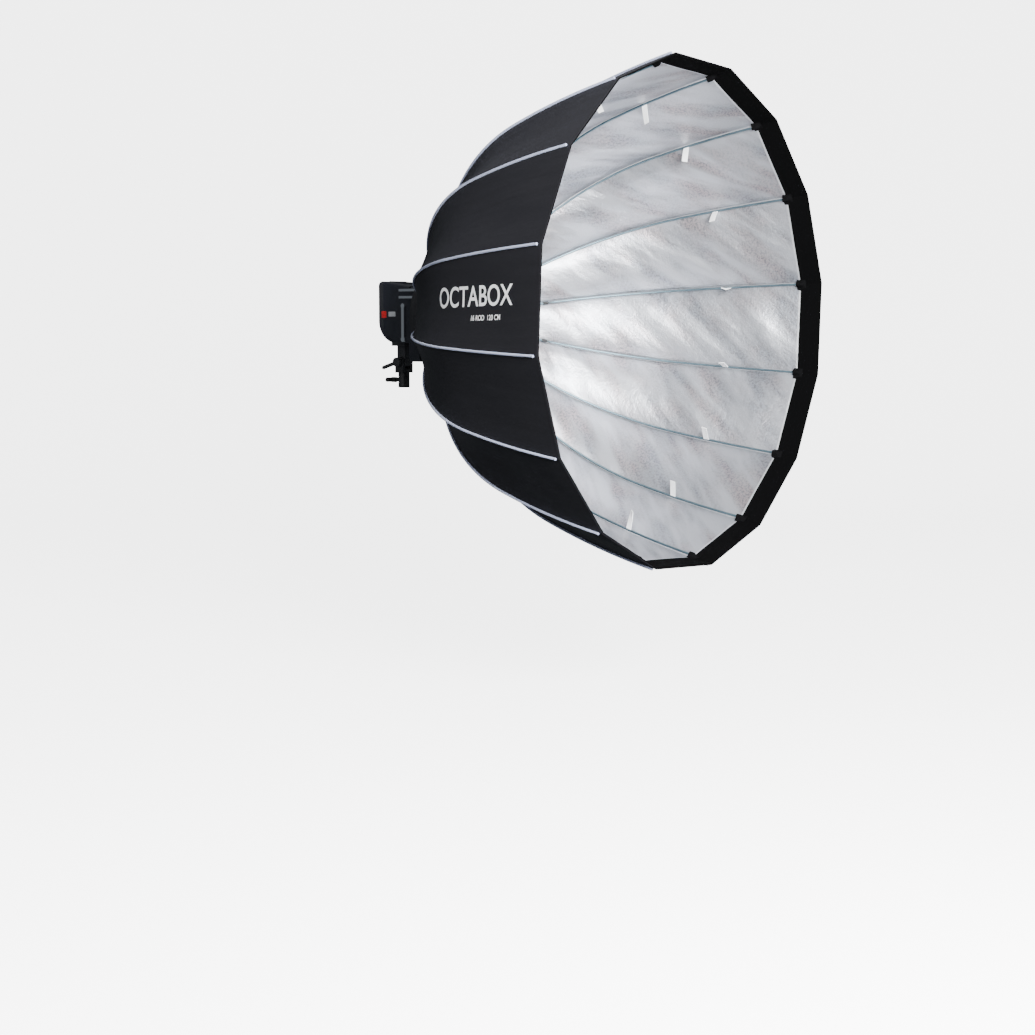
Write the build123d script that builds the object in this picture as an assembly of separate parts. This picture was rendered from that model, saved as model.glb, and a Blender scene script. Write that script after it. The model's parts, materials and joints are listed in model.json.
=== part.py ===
from build123d import *
import os
from math import asin, cos, degrees, pi, radians, sin

# Sixteen-rod deep octabox on a flash head, with the head's tilt bracket.
# Millimetres. X is across, Y runs from the open front (low) to the head (high), Z is up.
# The origin is the centre of the stand socket's mouth.

# ---- Driving sizes of the octabox ----
RODS = 16
RIM_R = 600.0  # front edge, measured to a corner
BOX_TURN = 3.0  # how far the box is turned on its ring at rest, degrees
MOUNT_S = 910.0  # stand axis behind the front edge
AXIS_Z = 185.0  # box axis above the stand socket's mouth

# The seam between two cover panels leans away from the box axis by these angles.
FRONT_LEAN = 11.5
WAIST_LEAN = 20.0
REAR_LEAN = 57.0
FRONT_BEND_R = 2310.0
REAR_BEND_R = 620.0

# ---- Fabric ----
COVER_T = 1.5
LINER_T = 1.0
FABRIC_GAP = 0.3
SEWN_GAP = 0.1  # between neighbouring panels
LIP_DEPTH = 53.0
LIP_T = 2.4
PIPING_R = 3.0
PIPING_START = 11.0
COLLAR_T = 2.0
STRAP_S = 237.0
STRAP_LENGTH = 48.0
STRAP_WIDTH = 12.0
STRAP_T = 2.0
LINER_END = 26.0  # liner stops this far short of the cover's rear end

# ---- Rods and their holders ----
ROD_R = 2.75
ROD_TIP_S = 62.0
CAP_R = 4.2
CAP_LENGTH = 12.0
STUD_S = 633.0
STUD_R = 4.2
STUD_LENGTH = 14.0
STUD_FIT = 0.15
POCKET_T = 1.2
POCKET_FIT = 0.4
POCKET_LENGTH = 20.0
PIVOT_INSET = 22.0  # hinge pins lie this far inside the ring's outside
PIN_R = 2.5
PIN_LENGTH = 24.0
PIN_FIT = 0.05
BOSS_R = 8.5
HOLDER_WIDTH = 12.0
SOCKET_R = 5.6
SOCKET_LENGTH = 34.0
ROD_SEAT = 14.0  # rod's inner end from its hinge pin
ROD_FIT = 0.05
SLOT_SIDE_GAP = 0.4
SLOT_FLOOR_GAP = 1.5

# ---- Speedring ----
RING_R = 128.0
RING_BORE_R = 80.0
RING_LENGTH = 50.0
RING_FIT = 0.05
RING_FACE_GAP = 0.3
INSERT_BORE_R = 70.0
INSERT_FLANGE_R = 100.0
INSERT_FLANGE_T = 11.0
RETAINER_R = 90.0
RETAINER_T = 5.0

# ---- Flash head ----
HEAD_WIDTH = 124.0
WALL = 3.0
HOUSING_START = 800.0
HOUSING_LENGTH = 36.0
HOUSING_LOW = -116.0  # below the box axis
HOUSING_HIGH = 76.0
HOUSING_CORNER = 12.0
HEAD_END = 945.0
HEAD_LOW = -68.0
HEAD_HIGH_FRONT = 78.0
HEAD_HIGH_REAR = 94.0
HEAD_TAIL_R = 58.0
HEAD_TOP_R = 12.0
HEAD_EDGE_R = 7.0
REAR_PANEL_T = 20.0
PANEL_GAP = 0.1
SPIGOT_LENGTH = 13.0
SPIGOT_T = 4.0
DOME_R = 38.0
DOME_T = 2.0
DOME_LENGTH = 52.0
LAMP_SEAT_T = 6.0
TUBE_RING_R = 27.0
TUBE_R = 3.5
LAMP_R = 14.0
LAMP_LENGTH = 50.0
TRIM_LENGTH = 62.0
TRIM_HEIGHT = 7.0
TRIM_T = 5.0
TRIM_Z = (50.0, 68.0)  # above the box axis

# ---- Controls ----
DIAL_R = 13.0
DIAL_T = 11.0
DIAL_SHAFT_R = 3.0
DIAL_Z = 40.0
CONTROL_FIT = 0.3
BUTTON_R = 6.5
BUTTON_OUT = 4.0
BUTTON_IN = 6.0
BUTTON_X = 34.0
ROCKER_WIDTH = 20.0
ROCKER_HEIGHT = 14.0
ROCKER_T = 8.0
ROCKER_X = -34.0
INLET_WIDTH = 30.0
INLET_HEIGHT = 22.0
INLET_DEPTH = 18.0
INLET_Z = 4.0
INLET_WALL = 2.5
INLET_PIN_STEP = 7.0
INLET_PIN_RECESS = 4.0
INLET_PIN = (2.0, 4.0)
LEVER_T = 5.0
LEVER_WIDTH = 9.0
LEVER_REACH = 86.0
LEVER_S = 853.0
LEVER_Z = -58.0
LEVER_PIN_R = 3.0
LEVER_PIN_FIT = 0.05
LEVER_GAP = 1.0

# ---- Tilt bracket ----
TILT_Z = -118.0
LUG_WIDTH = 22.0
LUG_LENGTH = 27.0
LUG_PAD_WIDTH = 44.0
LUG_PAD_LENGTH = 46.0
LUG_PAD_T = 20.0
LUG_PAD_Z = -76.0  # underside of the pad, from the box axis
EYE_R = 16.0
CHEEK_T = 8.0
CHEEK_GAP = 0.3
BOLT_R = 5.0
BOLT_FIT = 0.05
BOLT_HEAD_R = 9.0
BOLT_HEAD_T = 6.0
BOLT_FACE_GAP = 0.3
SOCKET_BODY_R = 15.0
SOCKET_DEPTH = 45.0
STUD_BORE_R = 8.1  # takes a 16 mm lighting stud
YOKE_FLOOR = 20.0  # yoke's solid floor below the tilt axis
CLAMP_Z = 20.0
CLAMP_R = 4.0
CLAMP_FIT = 0.05
CLAMP_TIP_GAP = 0.4
CLAMP_REACH = 34.0
WING_LENGTH = 44.0
WING_R = 6.0
GRIP_REACH = 42.0
GRIP_R = 5.0
GRIP_HUB_R = 12.0
GRIP_HUB_T = 12.0

# ---- Worked out from the sizes above ----
HALF = pi / RODS
FLAT = cos(HALF)  # a panel's middle is nearer the axis than its seams
STEP = 360.0 / RODS
RIB_STEPS = 0.5  # the ribs lie half a step from the top, the panels on whole steps
PANEL_STEPS = 0.0
LINER_INSET = COVER_T + FABRIC_GAP
ROD_INSET = LINER_INSET + max(LINER_T, LIP_T) + (max(CAP_R, STUD_R) + FABRIC_GAP) / FLAT
BOX = Location((0, -MOUNT_S, AXIS_Z)) * Location((0, 0, 0), (0, BOX_TURN, 0))
HEAD = Location((0, -MOUNT_S, AXIS_Z))


def save(shape, name):
    shape.label = name
    export_step(shape, f"parts/{name}.step")


def group(solids):
    return Compound(children=list(solids))


def away(point, lean, distance):
    """A point moved outwards, square to a seam that leans by lean degrees."""
    angle = radians(lean)
    return (point[0] + distance * sin(angle), point[1] + distance * cos(angle))


FRONT_CENTRE = away((0.0, RIM_R), FRONT_LEAN, -FRONT_BEND_R)
WAIST = away(FRONT_CENTRE, WAIST_LEAN, FRONT_BEND_R)
REAR_CENTRE = away(WAIST, WAIST_LEAN, -REAR_BEND_R)
STRAIGHT = away(REAR_CENTRE, REAR_LEAN, REAR_BEND_R)
COVER_END_R = RING_R + COLLAR_T + 1.0
STRAIGHT_RUN = (STRAIGHT[1] - COVER_END_R) / sin(radians(REAR_LEAN))


def seam_point(lean, inset):
    """Distance behind the front edge and radius, where the seam leans by lean."""
    if lean <= WAIST_LEAN:
        return away(FRONT_CENTRE, lean, FRONT_BEND_R - inset)
    return away(REAR_CENTRE, lean, REAR_BEND_R - inset)


def lean_at(s, inset):
    lean = degrees(asin((s - FRONT_CENTRE[0]) / (FRONT_BEND_R - inset)))
    if lean <= WAIST_LEAN:
        return lean
    return degrees(asin((s - REAR_CENTRE[0]) / (REAR_BEND_R - inset)))


def straight_point(run, inset):
    """A point on the seam's straight rear part, run mm past its start."""
    start = seam_point(REAR_LEAN, inset)
    angle = radians(REAR_LEAN)
    return (start[0] + run * cos(angle), start[1] - run * sin(angle))


def flat(point):
    return Vector(0, point[0], point[1])


def seam_edges(start_s, run, inset):
    """The seam line from start_s to run mm along its straight part."""
    first = lean_at(start_s, inset)
    leans = [first, (first + WAIST_LEAN) / 2, WAIST_LEAN]
    front = ThreePointArc(*[flat(seam_point(a, inset)) for a in leans])
    leans = [WAIST_LEAN + 1e-9, (WAIST_LEAN + REAR_LEAN) / 2, REAR_LEAN]
    rear = ThreePointArc(*[flat(seam_point(a, inset)) for a in leans])
    tail = Line(flat(seam_point(REAR_LEAN, inset)), flat(straight_point(run, inset)))
    return [front, rear, tail]


def front_edges(start_s, end_s, inset):
    leans = [lean_at(start_s, inset), lean_at((start_s + end_s) / 2, inset), lean_at(end_s, inset)]
    return [ThreePointArc(*[flat(seam_point(a, inset)) for a in leans])]


def ends(edges):
    return edges[0] @ 0, edges[-1] @ 1


def gore(outer, inner):
    """One flat-across panel between two seams, from its outer and inner seam lines."""
    outer_start, outer_end = ends(outer)
    inner_start, inner_end = ends(inner)
    loop = outer + inner + [Line(outer_start, inner_start), Line(outer_end, inner_end)]
    side = scale(make_face(loop), by=(1, 1, FLAT))
    reach = RIM_R * 1.2
    band = extrude(side, amount=reach * sin(HALF), dir=(1, 0, 0), both=True)
    tip = SEWN_GAP / 2 / sin(HALF)
    spread = (reach - tip) * sin(HALF) / cos(HALF)
    corners = [(0, tip), (spread, reach), (-spread, reach)]
    wedge = Polygon(*corners, align=None)
    wedge = extrude(Plane((0, 0, 0), (1, 0, 0), (0, -1, 0)) * wedge, amount=MOUNT_S * 2, both=True)
    return (band & wedge).solid()


def turned(number, steps):
    """The place of one copy round the box axis, in the box's own frame."""
    return Location((0, 0, 0), (0, (number + steps) * STEP, 0))


def around(solid, steps=RIB_STEPS):
    """Copies round the box axis, in the row's frame, on the ribs or between them."""
    return [BOX * turned(number, steps) * solid for number in range(RODS)]


def tube_along_y(outer_r, inner_r, start, end):
    """A round tube on the box axis from start to end."""
    plane = Plane((0, start, 0), (1, 0, 0), (0, 1, 0))
    section = Circle(outer_r)
    if inner_r:
        section -= Circle(inner_r)
    return extrude(plane * section, amount=end - start)


def rod_between(start, end, radius):
    direction = end - start
    return extrude(Plane(start, z_dir=direction) * Circle(radius), amount=direction.length)


# ---- Octabox: fabric ----
def outer_cover():
    outer = seam_edges(0, STRAIGHT_RUN, 0)
    inner = seam_edges(0, STRAIGHT_RUN, COVER_T)
    return group(around(gore(outer, inner), PANEL_STEPS))


def inner_liner():
    run = STRAIGHT_RUN - LINER_END
    outer = seam_edges(LIP_DEPTH + FABRIC_GAP, run, LINER_INSET)
    inner = seam_edges(LIP_DEPTH + FABRIC_GAP, run, LINER_INSET + LINER_T)
    return group(around(gore(outer, inner), PANEL_STEPS))


def front_lip():
    outer = front_edges(0, LIP_DEPTH, LINER_INSET)
    inner = front_edges(0, LIP_DEPTH, LINER_INSET + LIP_T)
    return group(around(gore(outer, inner), PANEL_STEPS))


def seam_piping():
    inset = -(PIPING_R + FABRIC_GAP)
    path = seam_edges(PIPING_START, STRAIGHT_RUN, inset)
    start = path[0] @ 0
    section = Plane(start, z_dir=path[0] % 0) * Circle(PIPING_R)
    return group(around(sweep(section, path=Wire(path)).solid()))


def strap_set():
    lean = lean_at(STRAP_S, ROD_INSET)
    root = seam_point(lean, ROD_INSET + ROD_R + FABRIC_GAP)
    strap = Box(STRAP_T, STRAP_WIDTH, STRAP_LENGTH, align=(Align.CENTER, Align.CENTER, Align.MAX))
    strap = Location(flat(root), (-lean, 0, 0)) * strap
    return group(around(strap.solid()))


def rear_collar():
    start = cover_end()[0] + 0.5
    collar = tube_along_y(
        RING_R + FABRIC_GAP + COLLAR_T, RING_R + FABRIC_GAP, start, ring_span()[1]
    )
    return BOX * collar.solid()


# ---- Octabox: ring, rods and holders ----
def cover_end():
    return straight_point(STRAIGHT_RUN, 0)


def pivot():
    """Hinge pin's centre on the rod's own line."""
    start = straight_point(0, ROD_INSET)
    run = (start[1] - (RING_R - PIVOT_INSET)) / sin(radians(REAR_LEAN))
    return straight_point(run, ROD_INSET), run


def ring_span():
    front = cover_end()[0] + 0.5
    return front, front + RING_LENGTH


def slot_floor():
    return RING_R - PIVOT_INSET - BOSS_R - SLOT_FLOOR_GAP


def speedring():
    front, back = ring_span()
    ring = tube_along_y(RING_R, RING_BORE_R, front, back)
    (pin_s, pin_r), _ = pivot()
    slot_back = pin_s + BOSS_R + SLOT_FLOOR_GAP
    slot = Box(
        HOLDER_WIDTH + 2 * SLOT_SIDE_GAP,
        slot_back - front + 1,
        RING_R + 5 - slot_floor(),
        align=(Align.CENTER, Align.MAX, Align.MIN),
    )
    slot = Location((0, slot_back, slot_floor())) * slot
    hole = Location((0, pin_s, pin_r), (0, 90, 0)) * Cylinder(PIN_R + 0.02, PIN_LENGTH + 0.1)
    for k in range(RODS):
        ring -= turned(k, RIB_STEPS) * slot
        ring -= turned(k, RIB_STEPS) * hole
    return BOX * ring.solid()


def hinge_pins():
    (pin_s, pin_r), _ = pivot()
    pin = Location((0, pin_s, pin_r), (0, 90, 0)) * Cylinder(PIN_R, PIN_LENGTH)
    return group(around(pin.solid()))


def holder():
    (pin_s, pin_r), run = pivot()
    centre = Vector(0, pin_s, pin_r)
    mouth = flat(straight_point(run - SOCKET_LENGTH, ROD_INSET))
    seat = flat(straight_point(run - ROD_SEAT, ROD_INSET))
    boss = Location(centre, (0, 90, 0)) * Cylinder(BOSS_R, HOLDER_WIDTH)
    body = boss + rod_between(centre, mouth, SOCKET_R)
    body -= Location(centre, (0, 90, 0)) * Cylinder(PIN_R + PIN_FIT, HOLDER_WIDTH * 2)
    body -= rod_between(seat, mouth + (mouth - seat), ROD_R + ROD_FIT)
    return body.solid()


def rod_parts():
    """A rod with its tip cap and the stud where the liner is hooked to it."""
    _, run = pivot()
    path = seam_edges(ROD_TIP_S, run - ROD_SEAT, ROD_INSET)
    start = path[0] @ 0
    along = path[0] % 0
    section = Plane(start, z_dir=along) * Circle(ROD_R)
    rod = sweep(section, path=Wire(path)).solid()
    cap = extrude(Plane(start, z_dir=-along) * Circle(CAP_R), amount=CAP_LENGTH)
    cap = fillet(cap.edges().sort_by(Axis.Y)[0], CAP_R * 0.6)
    lean = lean_at(STUD_S, ROD_INSET)
    middle = flat(seam_point(lean, ROD_INSET))
    sense = Vector(0, cos(radians(lean)), -sin(radians(lean)))
    stud_plane = Plane(middle, z_dir=sense)
    ring = Circle(STUD_R) - Circle(ROD_R + STUD_FIT)
    stud = extrude(stud_plane * ring, amount=STUD_LENGTH / 2, both=True)
    return [rod, cap.solid(), stud.solid()]


def tip_pockets():
    """Half-round fabric pockets that hold the rods' caps against the lip."""
    start = flat(seam_point(lean_at(ROD_TIP_S, ROD_INSET), ROD_INSET))
    path = front_edges(ROD_TIP_S - 1, ROD_TIP_S + 1, ROD_INSET)
    along = (path[0] % 0.5) * -1
    plane = Plane(start, x_dir=(1, 0, 0), z_dir=along)
    inner_r = CAP_R + POCKET_FIT
    section = Circle(inner_r + POCKET_T) - Circle(inner_r)
    keep = Location((0, CAP_R * 0.3)) * Rectangle(4 * CAP_R, 4 * CAP_R, align=(Align.CENTER, Align.MIN))
    section -= keep
    pocket = extrude(plane * section, amount=POCKET_LENGTH)
    return group(around(pocket.solid()))


def mount_insert():
    front, back = ring_span()
    neck = tube_along_y(
        RING_BORE_R - RING_FIT, INSERT_BORE_R, front - RING_FACE_GAP, back + RING_FACE_GAP
    )
    flange_start = back + RING_FACE_GAP
    flange = tube_along_y(
        INSERT_FLANGE_R, INSERT_BORE_R, flange_start, flange_start + INSERT_FLANGE_T
    )
    return HEAD * (neck + flange).solid()


def retainer_ring():
    end = ring_span()[0] - RING_FACE_GAP
    return HEAD * tube_along_y(RETAINER_R, INSERT_BORE_R, end - RETAINER_T, end).solid()


# ---- Flash head ----
def side_sketch(points):
    """A closed outline in the Y-Z plane, from (distance behind the front edge, height)."""
    corners = [Vector(0, s, z) for s, z in points]
    return make_face(Polyline(*corners, close=True))


def head_form(shrink):
    """The head's body behind its front housing, shrunk all round by shrink."""
    front = HOUSING_START + HOUSING_LENGTH
    top_rear = (HEAD_END - shrink, HEAD_HIGH_REAR - shrink)
    outline = side_sketch(
        [
            (front, HEAD_LOW + shrink),
            (HEAD_END - shrink, HEAD_LOW + shrink),
            top_rear,
            (front, HEAD_HIGH_FRONT - shrink),
        ]
    )
    body = extrude(outline, amount=HEAD_WIDTH / 2 - shrink, dir=(1, 0, 0), both=True)
    cross = body.edges().filter_by(Axis.X).group_by(Axis.Y)[-1].sort_by(Axis.Z)
    body = fillet(cross[0], HEAD_TAIL_R - shrink)
    cross = body.edges().filter_by(Axis.X).sort_by(Axis.Z)
    body = fillet(cross[-1], HEAD_TOP_R - shrink)
    radius = HEAD_EDGE_R - shrink
    sides = [e for e in body.edges() if abs(abs(e.center().X) - (HEAD_WIDTH / 2 - shrink)) < 0.01]
    sides = [e for e in sides if e.center().Y > front + 0.01]
    return fillet(sides, radius)


def slab(start, end):
    reach = 400.0
    block = Box(reach, end - start, reach, align=(Align.CENTER, Align.MIN, Align.CENTER))
    return Location((0, start, 0)) * block


def head_shell():
    split = HEAD_END - REAR_PANEL_T
    hollow = head_form(0) - head_form(WALL)
    shell = hollow & slab(HOUSING_START, split)
    hole = Cylinder(LEVER_PIN_R + LEVER_PIN_FIT, WALL * 4)
    shell -= Location((-HEAD_WIDTH / 2, LEVER_S, LEVER_Z), (0, 90, 0)) * hole
    return HEAD * shell.solid()


def panel_block(x, z, width, height):
    """A straight cut through the rear panel."""
    cut = Box(width, REAR_PANEL_T * 3, height)
    return Location((x, HEAD_END, z)) * cut


def rear_panel():
    split = HEAD_END - REAR_PANEL_T + PANEL_GAP
    panel = (head_form(0) - head_form(WALL)) & slab(split, HEAD_END + 10)
    shaft = DIAL_SHAFT_R + CONTROL_FIT
    panel -= tube_along_y(shaft, 0, HEAD_END - 40, HEAD_END + 10).moved(Location((0, 0, DIAL_Z)))
    button = BUTTON_R + CONTROL_FIT
    hole = tube_along_y(button, 0, HEAD_END - 40, HEAD_END + 10)
    panel -= hole.moved(Location((BUTTON_X, 0, DIAL_Z)))
    gap = 2 * CONTROL_FIT
    panel -= panel_block(ROCKER_X, DIAL_Z, ROCKER_WIDTH + gap, ROCKER_HEIGHT + gap)
    panel -= panel_block(0, INLET_Z, INLET_WIDTH + 0.2, INLET_HEIGHT + 0.2)
    return HEAD * panel.solid()


def front_housing():
    height = HOUSING_HIGH - HOUSING_LOW
    middle = (HOUSING_HIGH + HOUSING_LOW) / 2
    plane = Plane((0, HOUSING_START, middle), (1, 0, 0), (0, -1, 0))
    outer = RectangleRounded(HEAD_WIDTH, height, HOUSING_CORNER)
    inner = RectangleRounded(HEAD_WIDTH - 2 * WALL, height - 2 * WALL, HOUSING_CORNER - WALL)
    body = extrude(plane * outer, amount=-(HOUSING_LENGTH - PANEL_GAP))
    cavity_plane = plane.offset(-WALL)
    body -= extrude(cavity_plane * inner, amount=-(HOUSING_LENGTH - PANEL_GAP - 2 * WALL))
    body -= tube_along_y(DOME_R + 6, 0, HOUSING_START - 1, HOUSING_START + WALL + 1)
    window_low = HEAD_LOW + WALL
    window_high = HOUSING_HIGH - 2 * WALL
    window = Box(HEAD_WIDTH - 4 * WALL, WALL * 3, window_high - window_low)
    end = HOUSING_START + HOUSING_LENGTH
    body -= Location((0, end, (window_low + window_high) / 2)) * window
    flange_end = ring_span()[1] + RING_FACE_GAP + INSERT_FLANGE_T
    spigot = tube_along_y(
        INSERT_BORE_R - RING_FIT * 2, INSERT_BORE_R - SPIGOT_T, flange_end - SPIGOT_LENGTH, HOUSING_START
    )
    return HEAD * (body + spigot).solid()


def lamp_seat():
    """A round base inside the front housing that carries the dome, tube and lamp."""
    start = HOUSING_START + WALL
    return start, start + LAMP_SEAT_T


def glass_dome():
    seat = HOUSING_START + WALL
    nose = seat - DOME_LENGTH - DOME_R
    outer = tube_along_y(DOME_R, 0, nose + DOME_R, seat)
    outer += Location((0, nose + DOME_R, 0)) * Sphere(DOME_R)
    inner = tube_along_y(DOME_R - DOME_T, 0, nose + DOME_R, seat + 1)
    inner += Location((0, nose + DOME_R, 0)) * Sphere(DOME_R - DOME_T)
    return HEAD * (outer - inner).solid()


def flash_tube():
    """An almost closed glass ring round the lamp, on two straight legs."""
    seat = HOUSING_START + WALL
    ring_s = seat - 30.0
    gap = 24.0
    start = Vector(TUBE_RING_R * sin(radians(gap)), ring_s, -TUBE_RING_R * cos(radians(gap)))
    top = Vector(0, ring_s, TUBE_RING_R)
    end = Vector(-start.X, ring_s, start.Z)
    arc = ThreePointArc(start, top, end)
    tube = sweep(Plane(start, z_dir=arc % 0) * Circle(TUBE_R), path=arc)
    for side in (start, end):
        tube += rod_between(side - Vector(0, TUBE_R, 0), Vector(side.X, seat, side.Z), TUBE_R + 0.6)
    return HEAD * tube.solid()


def modelling_lamp():
    start, end = lamp_seat()
    seat = tube_along_y(DOME_R + 8, 0, start, end)
    seat += tube_along_y(LAMP_R - 3, 0, start - 12, start)
    bulb = tube_along_y(LAMP_R, 0, start - LAMP_LENGTH + LAMP_R, start - 12)
    bulb += Location((0, start - LAMP_LENGTH + LAMP_R, 0)) * Sphere(LAMP_R)
    return HEAD * (seat + bulb).solid()


def side_trims():
    start = HOUSING_START + HOUSING_LENGTH - TRIM_LENGTH / 2
    found = []
    for side in (-1, 1):
        for z in TRIM_Z:
            bar = Box(TRIM_T, TRIM_LENGTH, TRIM_HEIGHT)
            bar = fillet(bar.edges().filter_by(Axis.Y), TRIM_T * 0.3)
            x = side * (HEAD_WIDTH / 2 + TRIM_T / 2)
            found.append(HEAD * (Location((x, start + TRIM_LENGTH / 2, z)) * bar).solid())
    return group(found)


def mains_inlet():
    shell = Box(INLET_WIDTH, INLET_DEPTH, INLET_HEIGHT, align=(Align.CENTER, Align.MAX, Align.CENTER))
    well = Box(
        INLET_WIDTH - 2 * INLET_WALL,
        INLET_DEPTH - INLET_WALL,
        INLET_HEIGHT - 2 * INLET_WALL,
        align=(Align.CENTER, Align.MAX, Align.CENTER),
    )
    inlet = shell - well
    for x in (-INLET_PIN_STEP, 0.0, INLET_PIN_STEP):
        depth = INLET_DEPTH - INLET_PIN_RECESS
        pin = Box(INLET_PIN[0], depth, INLET_PIN[1], align=(Align.CENTER, Align.MAX, Align.CENTER))
        inlet += Location((x, 1.0 - INLET_PIN_RECESS, 0)) * pin
    return HEAD * (Location((0, HEAD_END, INLET_Z)) * inlet).solid()


def control_dial():
    knob = tube_along_y(DIAL_R, 0, HEAD_END + 0.5, HEAD_END + 0.5 + DIAL_T)
    knob = fillet(knob.edges().sort_by(Axis.Y)[-1], 1.5)
    knob += tube_along_y(DIAL_SHAFT_R, 0, HEAD_END - 14, HEAD_END + 1)
    mark = Location((0, HEAD_END + 0.5 + DIAL_T, DIAL_R * 0.6)) * Box(1.6, 1.2, DIAL_R * 0.5)
    return HEAD * (Location((0, 0, DIAL_Z)) * (knob - mark)).solid()


def test_button():
    button = tube_along_y(BUTTON_R, 0, HEAD_END - BUTTON_IN, HEAD_END + BUTTON_OUT)
    button = fillet(button.edges().sort_by(Axis.Y)[-1], 1.0)
    return HEAD * (Location((BUTTON_X, 0, DIAL_Z)) * button).solid()


def power_rocker():
    """A rocker whose back is round about its hinge, so it turns inside its cut-out."""
    plane = Plane((0, 0, 0), (0, 1, 0), (1, 0, 0))
    hinge_r = ROCKER_HEIGHT / 2 - 0.6
    section = Circle(hinge_r)
    nose = Location((hinge_r / 2, 0)) * Rectangle(ROCKER_T, hinge_r * 1.1)
    section = section + nose
    rocker = extrude(plane * section, amount=ROCKER_WIDTH / 2, both=True)
    return HEAD * (Location((ROCKER_X, HEAD_END - hinge_r / 2, DIAL_Z)) * rocker).solid()


def bayonet_lever():
    """A flat bar with round ends that frees the octabox from the head."""
    x = -(HEAD_WIDTH / 2 + LEVER_GAP + LEVER_T / 2)
    plane = Plane((x - LEVER_T / 2, LEVER_S, LEVER_Z), (0, 0, 1), (1, 0, 0))
    bar = Location((LEVER_REACH / 2, 0)) * SlotCenterToCenter(LEVER_REACH, LEVER_WIDTH)
    bar += Circle(LEVER_WIDTH * 0.75)
    lever = extrude(plane * bar, amount=LEVER_T)
    knob = Location((LEVER_REACH, 0)) * Circle(LEVER_WIDTH * 0.7)
    lever += extrude(plane * knob, amount=LEVER_T + LEVER_GAP * 0.5)
    pin_length = LEVER_GAP + WALL
    pin_plane = Plane((x + LEVER_T / 2, LEVER_S, LEVER_Z), (0, 0, 1), (1, 0, 0))
    lever += extrude(pin_plane * Circle(LEVER_PIN_R), amount=pin_length)
    return HEAD * lever.solid()


# ---- Tilt bracket ----
def head_lug():
    """The eye under the head that the bracket's cheeks hold."""
    pad = Box(LUG_PAD_WIDTH, LUG_PAD_LENGTH, LUG_PAD_T, align=(Align.CENTER, Align.CENTER, Align.MIN))
    pad = Location((0, MOUNT_S, LUG_PAD_Z)) * pad - head_form(-PANEL_GAP)
    pad = Location((0, -MOUNT_S, 0)) * pad
    neck_height = LUG_PAD_Z - TILT_Z
    neck = Box(LUG_WIDTH, LUG_LENGTH, neck_height, align=(Align.CENTER, Align.CENTER, Align.MIN))
    neck = Location((0, 0, TILT_Z)) * neck
    eye = Location((0, 0, TILT_Z), (0, 90, 0)) * Cylinder(EYE_R, LUG_WIDTH)
    hole = Location((0, 0, TILT_Z), (0, 90, 0)) * Cylinder(BOLT_R + BOLT_FIT, LUG_WIDTH * 2)
    lug = pad + neck + eye - hole
    return Location((0, 0, AXIS_Z)) * lug.solid()


def stand_socket():
    """Two cheeks on a round socket that drops over a lighting stud."""
    tilt = AXIS_Z + TILT_Z
    inside = LUG_WIDTH / 2 + CHEEK_GAP
    floor_top = tilt - YOKE_FLOOR
    body = Cylinder(SOCKET_BODY_R, floor_top, align=(Align.CENTER, Align.CENTER, Align.MIN))
    deck = Box(
        2 * (inside + CHEEK_T), 2 * EYE_R - 4, CHEEK_T, align=(Align.CENTER, Align.CENTER, Align.MAX)
    )
    body += Location((0, 0, floor_top)) * deck
    for side in (-1, 1):
        x = side * (inside + CHEEK_T / 2)
        cheek = Box(CHEEK_T, 2 * EYE_R - 4, YOKE_FLOOR + CHEEK_T, align=(Align.CENTER, Align.CENTER, Align.MIN))
        body += Location((x, 0, floor_top - CHEEK_T)) * cheek
        body += Location((x, 0, tilt), (0, 90, 0)) * Cylinder(EYE_R - 2, CHEEK_T)
    body -= Location((0, 0, tilt), (0, 90, 0)) * Cylinder(BOLT_R + BOLT_FIT, 200)
    body -= Cylinder(STUD_BORE_R, SOCKET_DEPTH, align=(Align.CENTER, Align.CENTER, Align.MIN))
    screw = Cylinder(CLAMP_R + CLAMP_FIT, 100, align=(Align.CENTER, Align.CENTER, Align.MIN))
    body -= Location((0, 0, CLAMP_Z), (-90, 0, 0)) * screw
    return body.solid()


def bolt_span():
    return LUG_WIDTH / 2 + CHEEK_GAP + CHEEK_T


def tilt_bolt():
    """The bolt through both cheeks, with a flat head on the far side."""
    tilt = AXIS_Z + TILT_Z
    end = bolt_span()
    reach = end + BOLT_FACE_GAP + GRIP_HUB_T * 0.6
    bolt = Cylinder(BOLT_R, end + reach, align=(Align.CENTER, Align.CENTER, Align.MIN))
    head = Cylinder(BOLT_HEAD_R, BOLT_HEAD_T, align=(Align.CENTER, Align.CENTER, Align.MAX))
    placed = Location((end, 0, tilt), (0, -90, 0)) * (bolt + head)
    return placed.solid()


def tilt_lever():
    """The clamping handle on the bolt's end."""
    tilt = AXIS_Z + TILT_Z
    start = bolt_span() + BOLT_FACE_GAP
    plane = Plane((-start, 0, tilt), (0, 1, 0), (-1, 0, 0))
    hub = extrude(plane * Circle(GRIP_HUB_R), amount=GRIP_HUB_T)
    root = Vector(-start - GRIP_HUB_T / 2, 0, tilt)
    tip = root + Vector(-12, GRIP_REACH * 0.9, -GRIP_REACH * 0.35)
    arm = rod_between(root, tip, GRIP_R)
    arm += Location(tip) * Sphere(GRIP_R)
    lever = hub + arm
    lever -= extrude(plane * Circle(BOLT_R + BOLT_FIT), amount=GRIP_HUB_T * 0.6 + 0.5)
    return lever.solid()


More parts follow.
